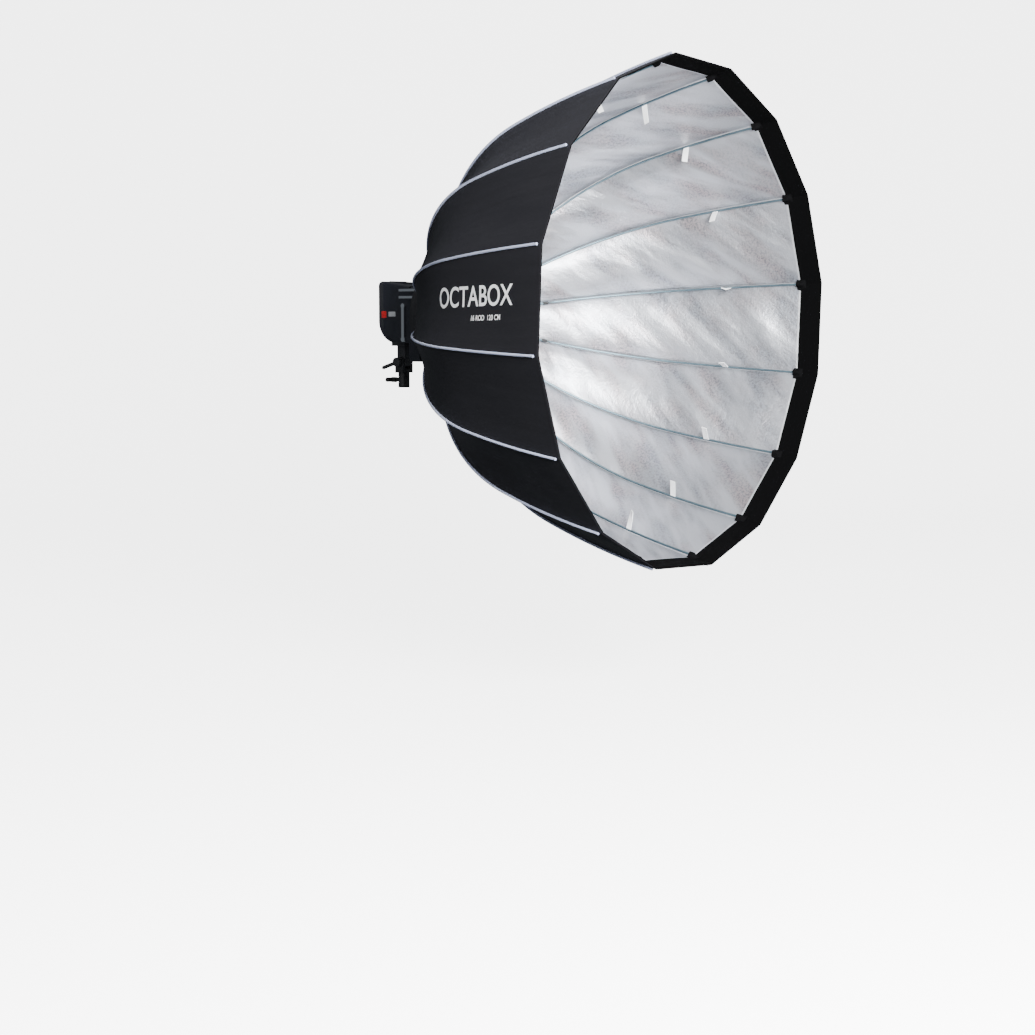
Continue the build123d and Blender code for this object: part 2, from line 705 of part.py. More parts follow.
def clamp_knob():
    """The T-handled screw that pinches the stand's stud."""
    start = STUD_BORE_R + CLAMP_TIP_GAP
    plane = Plane((0, start, CLAMP_Z), (1, 0, 0), (0, 1, 0))
    screw = extrude(plane * Circle(CLAMP_R), amount=CLAMP_REACH)
    end = start + CLAMP_REACH
    wing = Location((0, end, CLAMP_Z), (0, 90, 0)) * Cylinder(WING_R, WING_LENGTH)
    wing = fillet(wing.edges().filter_by(GeomType.CIRCLE), WING_R * 0.5)
    boss = extrude(plane.offset(CLAMP_REACH * 0.55) * Circle(WING_R + 1), amount=CLAMP_REACH * 0.45)
    return (screw + wing + boss).solid()


save(outer_cover(), "outer_cover")
save(inner_liner(), "inner_liner")
save(front_lip(), "front_lip")
save(seam_piping(), "seam_piping")
save(strap_set(), "strap_set")
save(tip_pockets(), "tip_pockets")
save(rear_collar(), "rear_collar")
save(speedring(), "speedring")
save(hinge_pins(), "hinge_pins")

one_holder = holder()
one_rod = rod_parts()
for number in range(RODS):
    place = BOX * turned(number, RIB_STEPS)
    save(place * one_holder, f"rod_holder_{number + 1:02d}")
    save(group([place * solid for solid in one_rod]), f"rod_{number + 1:02d}")

save(mount_insert(), "mount_insert")
save(retainer_ring(), "retainer_ring")
save(front_housing(), "front_housing")
save(head_shell(), "head_shell")
save(rear_panel(), "rear_panel")
save(glass_dome(), "glass_dome")
save(flash_tube(), "flash_tube")
save(modelling_lamp(), "modelling_lamp")
save(side_trims(), "side_trims")
save(mains_inlet(), "mains_inlet")
save(control_dial(), "control_dial")
save(test_button(), "test_button")
save(power_rocker(), "power_rocker")
save(bayonet_lever(), "bayonet_lever")
save(head_lug(), "head_lug")
save(stand_socket(), "stand_socket")
save(tilt_bolt(), "tilt_bolt")
save(tilt_lever(), "tilt_lever")
save(clamp_knob(), "clamp_knob")
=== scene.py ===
# %% [markdown]
# # A sixteen-rod octabox on its flash head
# The frame is a finished mechanical model: rods, hinges, ring, head and bracket, each in its real
# place. This lesson dresses it. The cloth is built from one curved pattern, the hard parts get
# their finishes and small fittings, and every new piece is told which moving body carries it.

import json
from math import atan2, cos, hypot, pi, radians, sin

import bmesh
import bpy
from mathutils import Matrix, Vector, noise


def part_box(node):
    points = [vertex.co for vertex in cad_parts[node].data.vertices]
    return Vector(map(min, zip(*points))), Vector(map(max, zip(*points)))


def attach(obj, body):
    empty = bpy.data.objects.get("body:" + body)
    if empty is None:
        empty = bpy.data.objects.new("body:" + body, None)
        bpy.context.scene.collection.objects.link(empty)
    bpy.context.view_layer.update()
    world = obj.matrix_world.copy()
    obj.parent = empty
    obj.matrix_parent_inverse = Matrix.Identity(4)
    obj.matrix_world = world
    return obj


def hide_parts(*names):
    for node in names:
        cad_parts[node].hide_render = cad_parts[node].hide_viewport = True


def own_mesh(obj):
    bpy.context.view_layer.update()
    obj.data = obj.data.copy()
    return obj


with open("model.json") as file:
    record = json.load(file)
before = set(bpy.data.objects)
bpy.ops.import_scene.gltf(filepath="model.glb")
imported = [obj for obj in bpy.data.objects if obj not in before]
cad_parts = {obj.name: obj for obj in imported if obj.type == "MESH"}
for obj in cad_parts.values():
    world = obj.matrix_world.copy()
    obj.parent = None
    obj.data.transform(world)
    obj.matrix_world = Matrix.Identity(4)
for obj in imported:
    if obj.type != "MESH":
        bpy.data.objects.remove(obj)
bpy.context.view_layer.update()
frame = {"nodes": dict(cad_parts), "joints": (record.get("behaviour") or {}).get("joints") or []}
nodes = frame["nodes"]
joints = {joint["name"]: joint for joint in frame["joints"]}

# %% [markdown]
# The box is round about one axis, so a few numbers place everything: the height of that axis, the
# plane of the front edge, and the sixteen directions of the rods. All of them are read from the
# hinges, so the cloth follows the mechanism and not the other way round.

# %% Axis, front plane and the sixteen ribs
AXIS_Z = joints["octabox_turn"]["pos_m"][2]
FRONT_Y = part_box("outer_cover")[0][1]
RIBS = 16
HALF = pi / RIBS
BACKWARD = Vector((0, 1, 0))


class Rib:
    """One rod's hinge and the directions that belong to it."""

    def __init__(self, number):
        self.number = number
        self.body = f"rod_{number:02d}_arm"
        self.joint = f"rod_{number:02d}_fold"
        self.hinge = Vector(joints[self.joint]["pos_m"])
        self.out = Vector((self.hinge.x, 0, self.hinge.z - AXIS_Z)).normalized()
        self.across = Vector(joints[self.joint]["axis"]).normalized()

    def place(self, s, r, side=0.0):
        """A point s behind the front edge, r from the box axis and side along across."""
        return Vector((0, FRONT_Y + s, AXIS_Z)) + r * self.out + side * self.across

    def panel(self, side):
        """The number of the panel on one side. A rib and the panel after it share a number."""
        return self.number if side >= 0 else (self.number - 2) % RIBS + 1


ribs = [Rib(number) for number in range(1, RIBS + 1)]
print("front plane at y", round(FRONT_Y, 3), "axis at z", round(AXIS_Z, 3))

# %% [markdown]
# ## The pattern of a panel
# A sprung rod is almost straight at its tip and bends most behind the middle. Two arcs and a
# straight run, each joining the last without a corner, give that line. Every cloth layer uses the
# same line, moved inwards by its own inset, so the layers never cross.

# %% The seam line
RIM_R = 0.600
FRONT_LEAN, WAIST_LEAN, REAR_LEAN = radians(11.5), radians(20.0), radians(57.0)
FRONT_BEND, REAR_BEND = 2.310, 0.620
COVER_END_R = 0.131
COVER_T, LINER_T, LIP_T = 0.0015, 0.0010, 0.0024
CLOTH_GAP = 0.0003
LINER_INSET = COVER_T + CLOTH_GAP
LIP_DEPTH = 0.053


def shifted(point, lean, distance):
    return (point[0] + distance * sin(lean), point[1] + distance * cos(lean))


FRONT_CENTRE = shifted((0.0, RIM_R), FRONT_LEAN, -FRONT_BEND)
WAIST = shifted(FRONT_CENTRE, WAIST_LEAN, FRONT_BEND)
REAR_CENTRE = shifted(WAIST, WAIST_LEAN, -REAR_BEND)
STRAIGHT = shifted(REAR_CENTRE, REAR_LEAN, REAR_BEND)
FRONT_RUN = FRONT_BEND * (WAIST_LEAN - FRONT_LEAN)
REAR_RUN = REAR_BEND * (REAR_LEAN - WAIST_LEAN)
STRAIGHT_RUN = (STRAIGHT[1] - COVER_END_R) / sin(REAR_LEAN)
SEAM_RUN = FRONT_RUN + REAR_RUN + STRAIGHT_RUN


def seam(run, inset=0.0):
    """Distance behind the front edge, radius and lean at run metres along the seam."""
    if run < FRONT_RUN:
        lean = FRONT_LEAN + run / FRONT_BEND
        point = shifted(FRONT_CENTRE, lean, FRONT_BEND)
    elif run < FRONT_RUN + REAR_RUN:
        lean = WAIST_LEAN + (run - FRONT_RUN) / REAR_BEND
        point = shifted(REAR_CENTRE, lean, REAR_BEND)
    else:
        lean = REAR_LEAN
        rest = run - FRONT_RUN - REAR_RUN
        point = (STRAIGHT[0] + rest * cos(lean), STRAIGHT[1] - rest * sin(lean))
    s, r = shifted(point, lean, -inset)
    return s, r, lean


def run_at(s, inset=0.0):
    """The run whose seam point lies s behind the front edge, found by halving."""
    low, high = 0.0, SEAM_RUN
    for _ in range(40):
        middle = (low + high) / 2
        if seam(middle, inset)[0] < s:
            low = middle
        else:
            high = middle
    return (low + high) / 2


print("seam length", round(SEAM_RUN, 3), "rear end at", [round(v, 3) for v in seam(SEAM_RUN)[:2]])

# %% [markdown]
# ## The camera and the room
# The picture is taken from the front left, a little above the axis of the box. A long lens keeps
# the sixteen sides even. The room is a pale floor that curves up behind, with big soft lights.

# %% Camera
CAMERA_AZIMUTH, CAMERA_DROP = radians(51.4), radians(5.8)
RIGHT_OF_CENTRE, ABOVE_CENTRE, DISTANCE = 0.412, 0.470, 4.430
front_centre = Vector((0, FRONT_Y, AXIS_Z))
forward = Vector(
    (
        sin(CAMERA_AZIMUTH) * cos(CAMERA_DROP),
        cos(CAMERA_AZIMUTH) * cos(CAMERA_DROP),
        -sin(CAMERA_DROP),
    )
)
rightward = Vector((cos(CAMERA_AZIMUTH), -sin(CAMERA_AZIMUTH), 0))
upward = rightward.cross(forward)
camera_data = bpy.data.cameras.new("camera")
camera_data.sensor_width = 36.0
camera_data.lens = 66.1
camera_data.clip_end = 50
camera = bpy.data.objects.new("camera", camera_data)
camera.matrix_world = Matrix.Translation(
    front_centre - DISTANCE * forward - RIGHT_OF_CENTRE * rightward - ABOVE_CENTRE * upward
) @ Matrix((rightward, upward, -forward)).transposed().to_4x4()
bpy.context.scene.collection.objects.link(camera)
bpy.context.scene.camera = camera
print("camera at", [round(v, 3) for v in camera.location])

# %% [markdown]
# ## Shared effects as node groups
# Weave, broad mottling and worn edges turn up on many cloths and plastics. Each is built once
# as a group with named sockets. A group only gives masks and heights. The shader itself stays in
# the material, where its plain settings are easy to read.

# %% Node helpers
def add(tree, kind, **settings):
    """A new node. Settings name its properties, or its inputs when written in_NAME."""
    node = tree.nodes.new("ShaderNode" + kind)
    for key, value in settings.items():
        if key.startswith("in_"):
            node.inputs[key[3:].replace("_", " ")].default_value = value
        else:
            setattr(node, key, value)
    return node


def math_node(tree, operation, first, second=None, third=None):
    node = tree.nodes.new("ShaderNodeMath")
    node.operation = operation
    for socket, value in zip(node.inputs, (first, second, third)):
        if value is None:
            continue
        if hasattr(value, "is_linked"):
            tree.links.new(value, socket)
        else:
            socket.default_value = value
    return node.outputs[0]


def mix_colour(tree, factor, low, high, blend="MIX"):
    node = tree.nodes.new("ShaderNodeMix")
    node.data_type = "RGBA"
    node.blend_type = blend
    for socket, value in ((node.inputs[0], factor), (node.inputs[6], low), (node.inputs[7], high)):
        if hasattr(value, "is_linked"):
            tree.links.new(value, socket)
        elif isinstance(value, float):
            socket.default_value = value
        else:
            socket.default_value = (*value, 1.0)
    return node.outputs[2]


def noise_texture(tree, vector, scale, detail, roughness=0.5):
    node = add(tree, "TexNoise", in_Scale=scale, in_Detail=detail, in_Roughness=roughness)
    tree.links.new(vector, node.inputs["Vector"])
    return node.outputs[0]


def sharpen(tree, value, low, high):
    """0 below low, 1 above high and an even slope between. With low above high it turns over."""
    node = add(tree, "MapRange", in_From_Min=low, in_From_Max=high)
    tree.links.new(value, node.inputs["Value"])
    return node.outputs[0]


def mapped(tree, vector, **settings):
    """Coordinates stretched or turned, so that a pattern follows one direction."""
    node = add(tree, "Mapping", **settings)
    tree.links.new(vector, node.inputs["Vector"])
    return node.outputs[0]


def new_group(name, inputs, outputs):
    """A node group with float or vector inputs, as {name: default}, and float outputs."""
    tree = bpy.data.node_groups.new(name, "ShaderNodeTree")
    for label, default in inputs.items():
        kind = "NodeSocketVector" if default is None else "NodeSocketFloat"
        socket = tree.interface.new_socket(label, in_out="INPUT", socket_type=kind)
        if default is not None:
            socket.default_value = default
    for label in outputs:
        tree.interface.new_socket(label, in_out="OUTPUT", socket_type="NodeSocketFloat")
    return tree, tree.nodes.new("NodeGroupInput"), tree.nodes.new("NodeGroupOutput")


# %% Weave, mottling and worn edges
def weave_group():
    tree, given, result = new_group(
        "weave", {"Vector": None, "Threads": 800.0, "Fuzz": 0.3}, ("Height", "Thread")
    )
    split = add(tree, "SeparateXYZ")
    tree.links.new(given.outputs["Vector"], split.inputs[0])
    waves = []
    for axis in ("X", "Y"):
        turns = math_node(tree, "MULTIPLY", split.outputs[axis], given.outputs["Threads"])
        wave = math_node(tree, "SINE", math_node(tree, "MULTIPLY", turns, 2 * pi))
        waves.append(wave)
    over = math_node(tree, "MULTIPLY", waves[0], waves[1])
    scale = add(tree, "VectorMath", operation="SCALE")
    tree.links.new(given.outputs["Vector"], scale.inputs[0])
    tree.links.new(given.outputs["Threads"], scale.inputs["Scale"])
    fuzz = noise_texture(tree, scale.outputs[0], 1.0, 2.0)
    rough = math_node(tree, "MULTIPLY", fuzz, given.outputs["Fuzz"])
    height = math_node(tree, "ADD", math_node(tree, "MULTIPLY", over, 0.5), rough)
    tree.links.new(height, result.inputs["Height"])
    tree.links.new(math_node(tree, "MULTIPLY_ADD", waves[0], 0.5, 0.5), result.inputs["Thread"])
    return tree


def mottle_group():
    tree, given, result = new_group(
        "mottle", {"Vector": None, "Scale": 8.0, "Low": 0.35, "High": 0.65}, ("Mask",)
    )
    cloud = add(tree, "TexNoise", in_Detail=4.0, in_Roughness=0.55)
    tree.links.new(given.outputs["Vector"], cloud.inputs["Vector"])
    tree.links.new(given.outputs["Scale"], cloud.inputs["Scale"])
    ramp = add(tree, "MapRange", interpolation_type="SMOOTHSTEP")
    tree.links.new(cloud.outputs[0], ramp.inputs["Value"])
    tree.links.new(given.outputs["Low"], ramp.inputs["From Min"])
    tree.links.new(given.outputs["High"], ramp.inputs["From Max"])
    tree.links.new(ramp.outputs[0], result.inputs["Mask"])
    return tree


def edge_wear_group():
    """Bright where a surface bends outwards sharply, broken up by noise."""
    tree, given, result = new_group("edge_wear", {"Vector": None, "Amount": 0.5}, ("Mask",))
    geometry = add(tree, "NewGeometry")
    edges = sharpen(tree, geometry.outputs["Pointiness"], 0.52, 0.62)
    patches = noise_texture(tree, given.outputs["Vector"], 60.0, 3.0)
    broken = math_node(tree, "MULTIPLY", edges, patches)
    tree.links.new(math_node(tree, "MULTIPLY", broken, given.outputs["Amount"]), result.inputs["Mask"])
    return tree


WEAVE, MOTTLE, EDGE_WEAR = weave_group(), mottle_group(), edge_wear_group()
print("groups", [group.name for group in (WEAVE, MOTTLE, EDGE_WEAR)])

# %% [markdown]
# ## Materials
# Each finish is a small function that ends in one Principled shader. Values that are the same all
# over are set on the shader. Only what changes over the surface comes through nodes.

# %% The start of every material
def new_material(name, colour, roughness, **plain):
    """A material with its shader and coordinates ready, and its plain values set."""
    material = bpy.data.materials.new(name)
    material.use_nodes = True
    tree = material.node_tree
    shader = tree.nodes["Principled BSDF"]
    shader.inputs["Base Color"].default_value = (*colour, 1.0)
    shader.inputs["Roughness"].default_value = roughness
    for label, value in plain.items():
        shader.inputs[label.replace("_", " ")].default_value = value
    material.diffuse_color = (*colour, 1.0)
    return material, tree, shader, add(tree, "TexCoord")


def use_group(tree, group, vector, **values):
    node = tree.nodes.new("ShaderNodeGroup")
    node.node_tree = group
    tree.links.new(vector, node.inputs["Vector"])
    for label, value in values.items():
        node.inputs[label].default_value = value
    return node.outputs


def bump(tree, shader, height, strength, distance, normal=None):
    """A bump on the shader. A coarser one takes the finer one before it as its normal."""
    node = add(tree, "Bump", in_Strength=strength, in_Distance=distance)
    tree.links.new(height, node.inputs["Height"])
    if normal is not None:
        tree.links.new(normal, node.inputs["Normal"])
    tree.links.new(node.outputs[0], shader.inputs["Normal"])
    return node.outputs[0]


def spread(tree, value, low, high):
    """A value from 0 to 1, stretched to run from low to high."""
    node = add(tree, "MapRange", in_To_Min=low, in_To_Max=high)
    tree.links.new(value, node.inputs["Value"])
    return node.outputs[0]


# %% Cloth finishes
STREAK_SLANT = radians(42)
# Where the painted highlight along the hems and seams starts to fade and where it ends.
HEM_HIGHLIGHT_INNER, HEM_HIGHLIGHT_OUTER = 0.0035, 0.0055


def cover_nylon():
    """Tight black nylon with a faint violet sheen and a fine weave. Its long streaks are bumps, and
    their paler colour is painted sheen.
    """
    material, tree, shader, where = new_material(
        "cover_nylon", (0.0080, 0.0078, 0.0096), 0.62, Sheen_Weight=0.03, Sheen_Roughness=0.45,
        Sheen_Tint=(0.75, 0.75, 0.9, 1), Specular_IOR_Level=0.15,
    )
    stretched = mapped(tree, where.outputs["UV"], in_Scale=(34.0, 3.5, 1.0))
    streaks = noise_texture(tree, stretched, 1.0, 3.0)
    cloud = use_group(tree, MOTTLE, where.outputs["Object"], Scale=5.0, Low=0.3, High=0.7)
    # The paler streaks in the colour are painted sheen.
    colour = mix_colour(tree, streaks, (0.0050, 0.0049, 0.0060), (0.0100, 0.0098, 0.0120))
    tree.links.new(colour, shader.inputs["Base Color"])
    tree.links.new(spread(tree, cloud["Mask"], 0.55, 0.70), shader.inputs["Roughness"])
    threads = use_group(tree, WEAVE, where.outputs["UV"], Threads=620.0, Fuzz=0.5)
    fine = bump(tree, shader, threads["Height"], 0.25, 0.0004)
    bump(tree, shader, streaks, 0.35, 0.004, fine)
    return material


def liner_silver():
    """Silvered cloth with slanting bands of painted shade and painted light from its folds, the shaded
    bands speckled.
    """
    material, tree, shader, where = new_material(
        "liner_silver", (0.72, 0.735, 0.765), 0.42, Metallic=0.8
    )
    cloth = where.outputs["UV"]
    pebbles = add(tree, "TexVoronoi", in_Scale=330.0, feature="SMOOTH_F1")
    tree.links.new(cloth, pebbles.inputs["Vector"])
    slanted = mapped(
        tree, cloth, vector_type="TEXTURE", in_Rotation=(0, 0, STREAK_SLANT), in_Scale=(0.05, 0.21, 1.0)
    )
    streaks = noise_texture(tree, slanted, 1.0, 3.0)
    crush = noise_texture(tree, cloth, 70.0, 5.0, 0.75)
    specks = noise_texture(tree, cloth, 170.0, 3.0, 0.75)
    cloud = use_group(tree, MOTTLE, where.outputs["Object"], Scale=6.0, Low=0.4, High=0.6)
    warm = mix_colour(tree, cloud["Mask"], (0.32, 0.345, 0.39), (0.41, 0.36, 0.375))
    # Painted shade and light: dark bands are the shade of the folds, speckled with random tone, and pale
    # bands are where the folds catch the light.
    painted_fold_shade = mix_colour(tree, sharpen(tree, specks, 0.42, 0.54), (0.22, 0.22, 0.235), warm)
    base = mix_colour(tree, sharpen(tree, streaks, 0.36, 0.60), painted_fold_shade, (0.50, 0.515, 0.55))
    # A painted highlight runs along the lip and along every seam, where the turned edge of the cloth
    # catches the light.
    marks = add(tree, "Attribute", attribute_name="hem")
    spacing = add(tree, "SeparateXYZ")
    tree.links.new(marks.outputs["Vector"], spacing.inputs[0])
    nearest = math_node(tree, "MINIMUM", spacing.outputs["X"], spacing.outputs["Y"])
    edge = sharpen(tree, nearest, HEM_HIGHLIGHT_OUTER, HEM_HIGHLIGHT_INNER)
    colour = mix_colour(tree, edge, base, (0.74, 0.75, 0.77))
    tree.links.new(colour, shader.inputs["Base Color"])
    tree.links.new(spread(tree, crush, 0.32, 0.50), shader.inputs["Roughness"])
    fine = bump(tree, shader, pebbles.outputs["Distance"], 0.4, 0.0006)
    middle = bump(tree, shader, crush, 0.35, 0.003, fine)
    bump(tree, shader, streaks, 0.3, 0.010, middle)
    return material


def lip_loop():
    """The hook-and-loop band: short matt pile, rough all over."""
    material, tree, shader, where = new_material(
        "lip_loop", (0.003, 0.003, 0.0032), 0.95, Specular_IOR_Level=0.04
    )
    pile = noise_texture(tree, where.outputs["UV"], 900.0, 3.0)
    colour = mix_colour(tree, pile, (0.0006, 0.0006, 0.0007), (0.0020, 0.0020, 0.0022))
    tree.links.new(colour, shader.inputs["Base Color"])
    bump(tree, shader, pile, 0.6, 0.001)
    return material


def woven_tape(name, dark, pale, threads, roughness=0.75):
    """Webbing or bias tape: a coarse diagonal weave between two shades."""
    material, tree, shader, where = new_material(name, pale, roughness, Sheen_Weight=0.15)
    diagonal = mapped(tree, where.outputs["UV"], in_Rotation=(0, 0, radians(45)))
    weave = use_group(tree, WEAVE, diagonal, Threads=threads, Fuzz=0.4)
    tree.links.new(mix_colour(tree, weave["Thread"], dark, pale), shader.inputs["Base Color"])
    bump(tree, shader, weave["Height"], 0.5, 0.0005)
    return material


def plain_cloth(name, colour, threads, sheen=0.2, gloss=0.5):
    """Plain woven cloth. Sheen and gloss are low where it hardly shines."""
    material, tree, shader, where = new_material(
        name, colour, 0.85, Sheen_Weight=sheen, Specular_IOR_Level=gloss
    )
    weave = use_group(tree, WEAVE, where.outputs["UV"], Threads=threads, Fuzz=0.6)
    pale = tuple(2.2 * value for value in colour)
    tree.links.new(mix_colour(tree, weave["Thread"], colour, pale), shader.inputs["Base Color"])
    bump(tree, shader, weave["Height"], 0.5, 0.0006)
    return material


# %% Hard finishes
def moulded_plastic(name, colour, roughness, grain=900.0, grain_depth=0.0003, worn=0.5):
    """Moulded casing: spark-eroded grain, rubbed a little shinier and paler on its edges."""
    material, tree, shader, where = new_material(name, colour, roughness)
    spot = where.outputs["Object"]
    wear = use_group(tree, EDGE_WEAR, spot, Amount=worn)
    cloud = use_group(tree, MOTTLE, spot, Scale=14.0, Low=0.3, High=0.7)
    pale = tuple(min(1.0, 2.6 * value + 0.02) for value in colour)
    tree.links.new(mix_colour(tree, wear["Mask"], colour, pale), shader.inputs["Base Color"])
    rough = spread(tree, cloud["Mask"], roughness - 0.05, roughness + 0.07)
    tree.links.new(rough, shader.inputs["Roughness"])
    bump(tree, shader, noise_texture(tree, spot, grain, 2.0), 0.35, grain_depth)
    return material


def metal(name, colour, roughness, brushed=(1.0, 1.0, 1.0), scratches=0.08):
    """Bare or anodised metal, with fine lines along one direction."""
    material, tree, shader, where = new_material(name, colour, roughness, Metallic=1.0)
    lines = noise_texture(tree, mapped(tree, where.outputs["Object"], in_Scale=brushed), 240.0, 4.0)
    low, high = max(0.05, roughness - scratches), roughness + scratches
    tree.links.new(spread(tree, lines, low, high), shader.inputs["Roughness"])
    wear = use_group(tree, EDGE_WEAR, where.outputs["Object"], Amount=0.4)
    bright = tuple(min(1.0, 1.35 * value + 0.03) for value in colour)
    tree.links.new(mix_colour(tree, wear["Mask"], colour, bright), shader.inputs["Base Color"])
    bump(tree, shader, lines, 0.1, 0.0002)
    return material


def clear_glass():
    material, tree, shader, where = new_material(
        "dome_glass", (0.96, 0.97, 0.97), 0.04, Transmission_Weight=1.0, IOR=1.47
    )
    smear = use_group(tree, MOTTLE, where.outputs["Object"], Scale=30.0)
    tree.links.new(spread(tree, smear["Mask"], 0.03, 0.12), shader.inputs["Roughness"])
    return material


COVER = cover_nylon()
LINER = liner_silver()
LIP = lip_loop()
PIPING = woven_tape("piping_cord", (0.24, 0.27, 0.40), (0.43, 0.47, 0.63), 520.0)
STRAP = woven_tape("strap_webbing", (0.90, 0.90, 0.90), (0.98, 0.98, 0.98), 700.0, 0.7)
POCKET = plain_cloth("pocket_cloth", (0.0018, 0.0018, 0.002), 900.0, 0.0, 0.04)
COLLAR = plain_cloth("collar_cloth", (0.010, 0.010, 0.012), 700.0)
MARK = woven_tape("printed_mark", (0.86, 0.86, 0.87), (0.97, 0.97, 0.97), 620.0, 0.6)
ROD = metal("rod_coating", (0.17, 0.245, 0.285), 0.45, (1.0, 0.1, 1.0))
HOLDER = moulded_plastic("holder_nylon", (0.014, 0.014, 0.016), 0.55)
RING = metal("ring_anodised", (0.028, 0.028, 0.031), 0.38)
STEEL = metal("pin_steel", (0.56, 0.56, 0.57), 0.28)
ALLOY = metal("insert_alloy", (0.48, 0.49, 0.51), 0.36)
BRIGHT = metal("bright_trim", (0.74, 0.76, 0.80), 0.16, (0.2, 1.0, 1.0), 0.05)
CASING = moulded_plastic("head_casing", (0.0075, 0.0085, 0.0145), 0.42)
PANEL = moulded_plastic("rear_panel", (0.020, 0.021, 0.026), 0.52)
BRACKET = moulded_plastic("bracket_paint", (0.020, 0.020, 0.022), 0.42, 500.0, 0.0004, 0.9)
RUBBER = moulded_plastic("grip_rubber", (0.016, 0.016, 0.017), 0.72, 700.0, 0.0005, 0.2)
GREY = moulded_plastic("grey_button", (0.20, 0.205, 0.215), 0.4)
STUD = moulded_plastic("stud_black", (0.008, 0.008, 0.009), 0.6)
BADGE_RED = moulded_plastic("badge_red", (0.62, 0.018, 0.022), 0.35, 600.0, 0.0001, 0.2)
BADGE_PALE = moulded_plastic("badge_pale", (0.52, 0.53, 0.56), 0.4, 600.0, 0.0001, 0.2)
DISPLAY = moulded_plastic("display_window", (0.004, 0.005, 0.006), 0.12, 300.0, 0.00002, 0.0)
CERAMIC = moulded_plastic("lamp_ceramic", (0.70, 0.68, 0.62), 0.35, 400.0)
GLASS = clear_glass()
print("materials", len(bpy.data.materials))

# %% [markdown]
# ## From a flat grid to a stretched panel
# Cloth between two sprung rods is pulled along its length and across it at once, so it dips a
# little between the seams. Each strip of cloth here is centred on a rod and reaches to the middle
# of the panels on both sides. It starts as a flat grid. Its points move onto the pattern, then a
# small dip and a few soft wrinkles are added. Rows lie closer together near every edge, so that
# neighbouring strips meet with the same slope and the joint can't be seen.

# %% Wrinkles
DIP = 0.010
BROAD_WRINKLE, SEAM_PUCKER = 0.0016, 0.0005
LINER_FULLNESS, LINER_CREASE = 0.0048, 0.0016
COVER_CALM, LINER_CALM = 0.05, 0.09


def shared_wrinkle(rib, panel, off, run):
    """Wrinkles of every layer. off is 0 in a panel's middle, and -1 and 1 at its two seams."""
    broad = noise.noise(Vector((panel * 7.3, run * 6.0, off * 1.2))) * (1 - off ** 4)
    pucker = noise.noise(Vector((rib.number * 3.1, run * 55.0, 2.0))) * abs(off) ** 10
    return BROAD_WRINKLE * broad + SEAM_PUCKER * pucker


def liner_wrinkle(panel, off, run):
    """The looser liner's own wrinkles, which slant across the panel and only stand inwards."""
    side = off * seam(run)[1] * sin(HALF)
    along = side * sin(STREAK_SLANT) - run * cos(STREAK_SLANT)
    cross = side * cos(STREAK_SLANT) + run * sin(STREAK_SLANT)
    broad = noise.noise(Vector((panel * 5.7, along * 4.5, cross * 17.0)))
    crease = 1 - abs(noise.noise(Vector((panel * 2.9, along * 6.0, cross * 30.0))))
    return (LINER_FULLNESS * (1 + broad) + LINER_CREASE * crease ** 4) * (1 - off ** 4)


def dip(across, run):
    """How far the cloth sinks inwards between two seams."""
    along = sin(pi * min(1.0, max(0.0, run / SEAM_RUN))) ** 1.2
    return DIP * along * (1 - (1 - across) ** 2)


def cloth_point(rib, kind, side, run, inset):
    """The place of a cloth point: side is -1 and 1 at the middles of the two panels."""
    s, r, lean = seam(run, inset)
    across = abs(side)
    turn = HALF if side >= 0 else -HALF
    point = rib.place(s, r * (1 - across * sin(HALF) ** 2), side * r * sin(HALF) * cos(HALF))
    facing = cos(turn) * rib.out + sin(turn) * rib.across
    square = (cos(lean) * facing + sin(lean) * BACKWARD).normalized()
    panel = rib.panel(side)
    off = across - 1 if side >= 0 else 1 - across
    # The cloth is calm at the front edge, and the liner behind the lip.
    sink = dip(across, run) + shared_wrinkle(rib, panel, off, run) * min(1.0, run / COVER_CALM)
    if kind == "liner":
        behind_lip = max(0.0, run - LIP_DEPTH)
        sink += liner_wrinkle(panel, off, run) * min(1.0, behind_lip / LINER_CALM)
    return point - sink * square


# %% One strip of cloth
COLUMNS = {"cover": 24, "liner": 32, "lip": 24}
SHARP = radians(38)
PANEL_STEP = 0.4
LINER_START = run_at(LIP_DEPTH + CLOTH_GAP, LINER_INSET)


def finish_mesh(bm, name, material, smooth=True):
    """Turns a bmesh into an object at the origin, with its finish."""
    mesh = bpy.data.meshes.new(name)
    if smooth:
        for face in bm.faces:
            face.smooth = True
        for edge in bm.edges:
            if edge.is_manifold and edge.calc_face_angle() > SHARP:
                edge.smooth = False
    bm.to_mesh(mesh)
    bm.free()
    mesh.materials.append(material)
    piece = bpy.data.objects.new(name, mesh)
    bpy.context.scene.collection.objects.link(piece)
    return piece


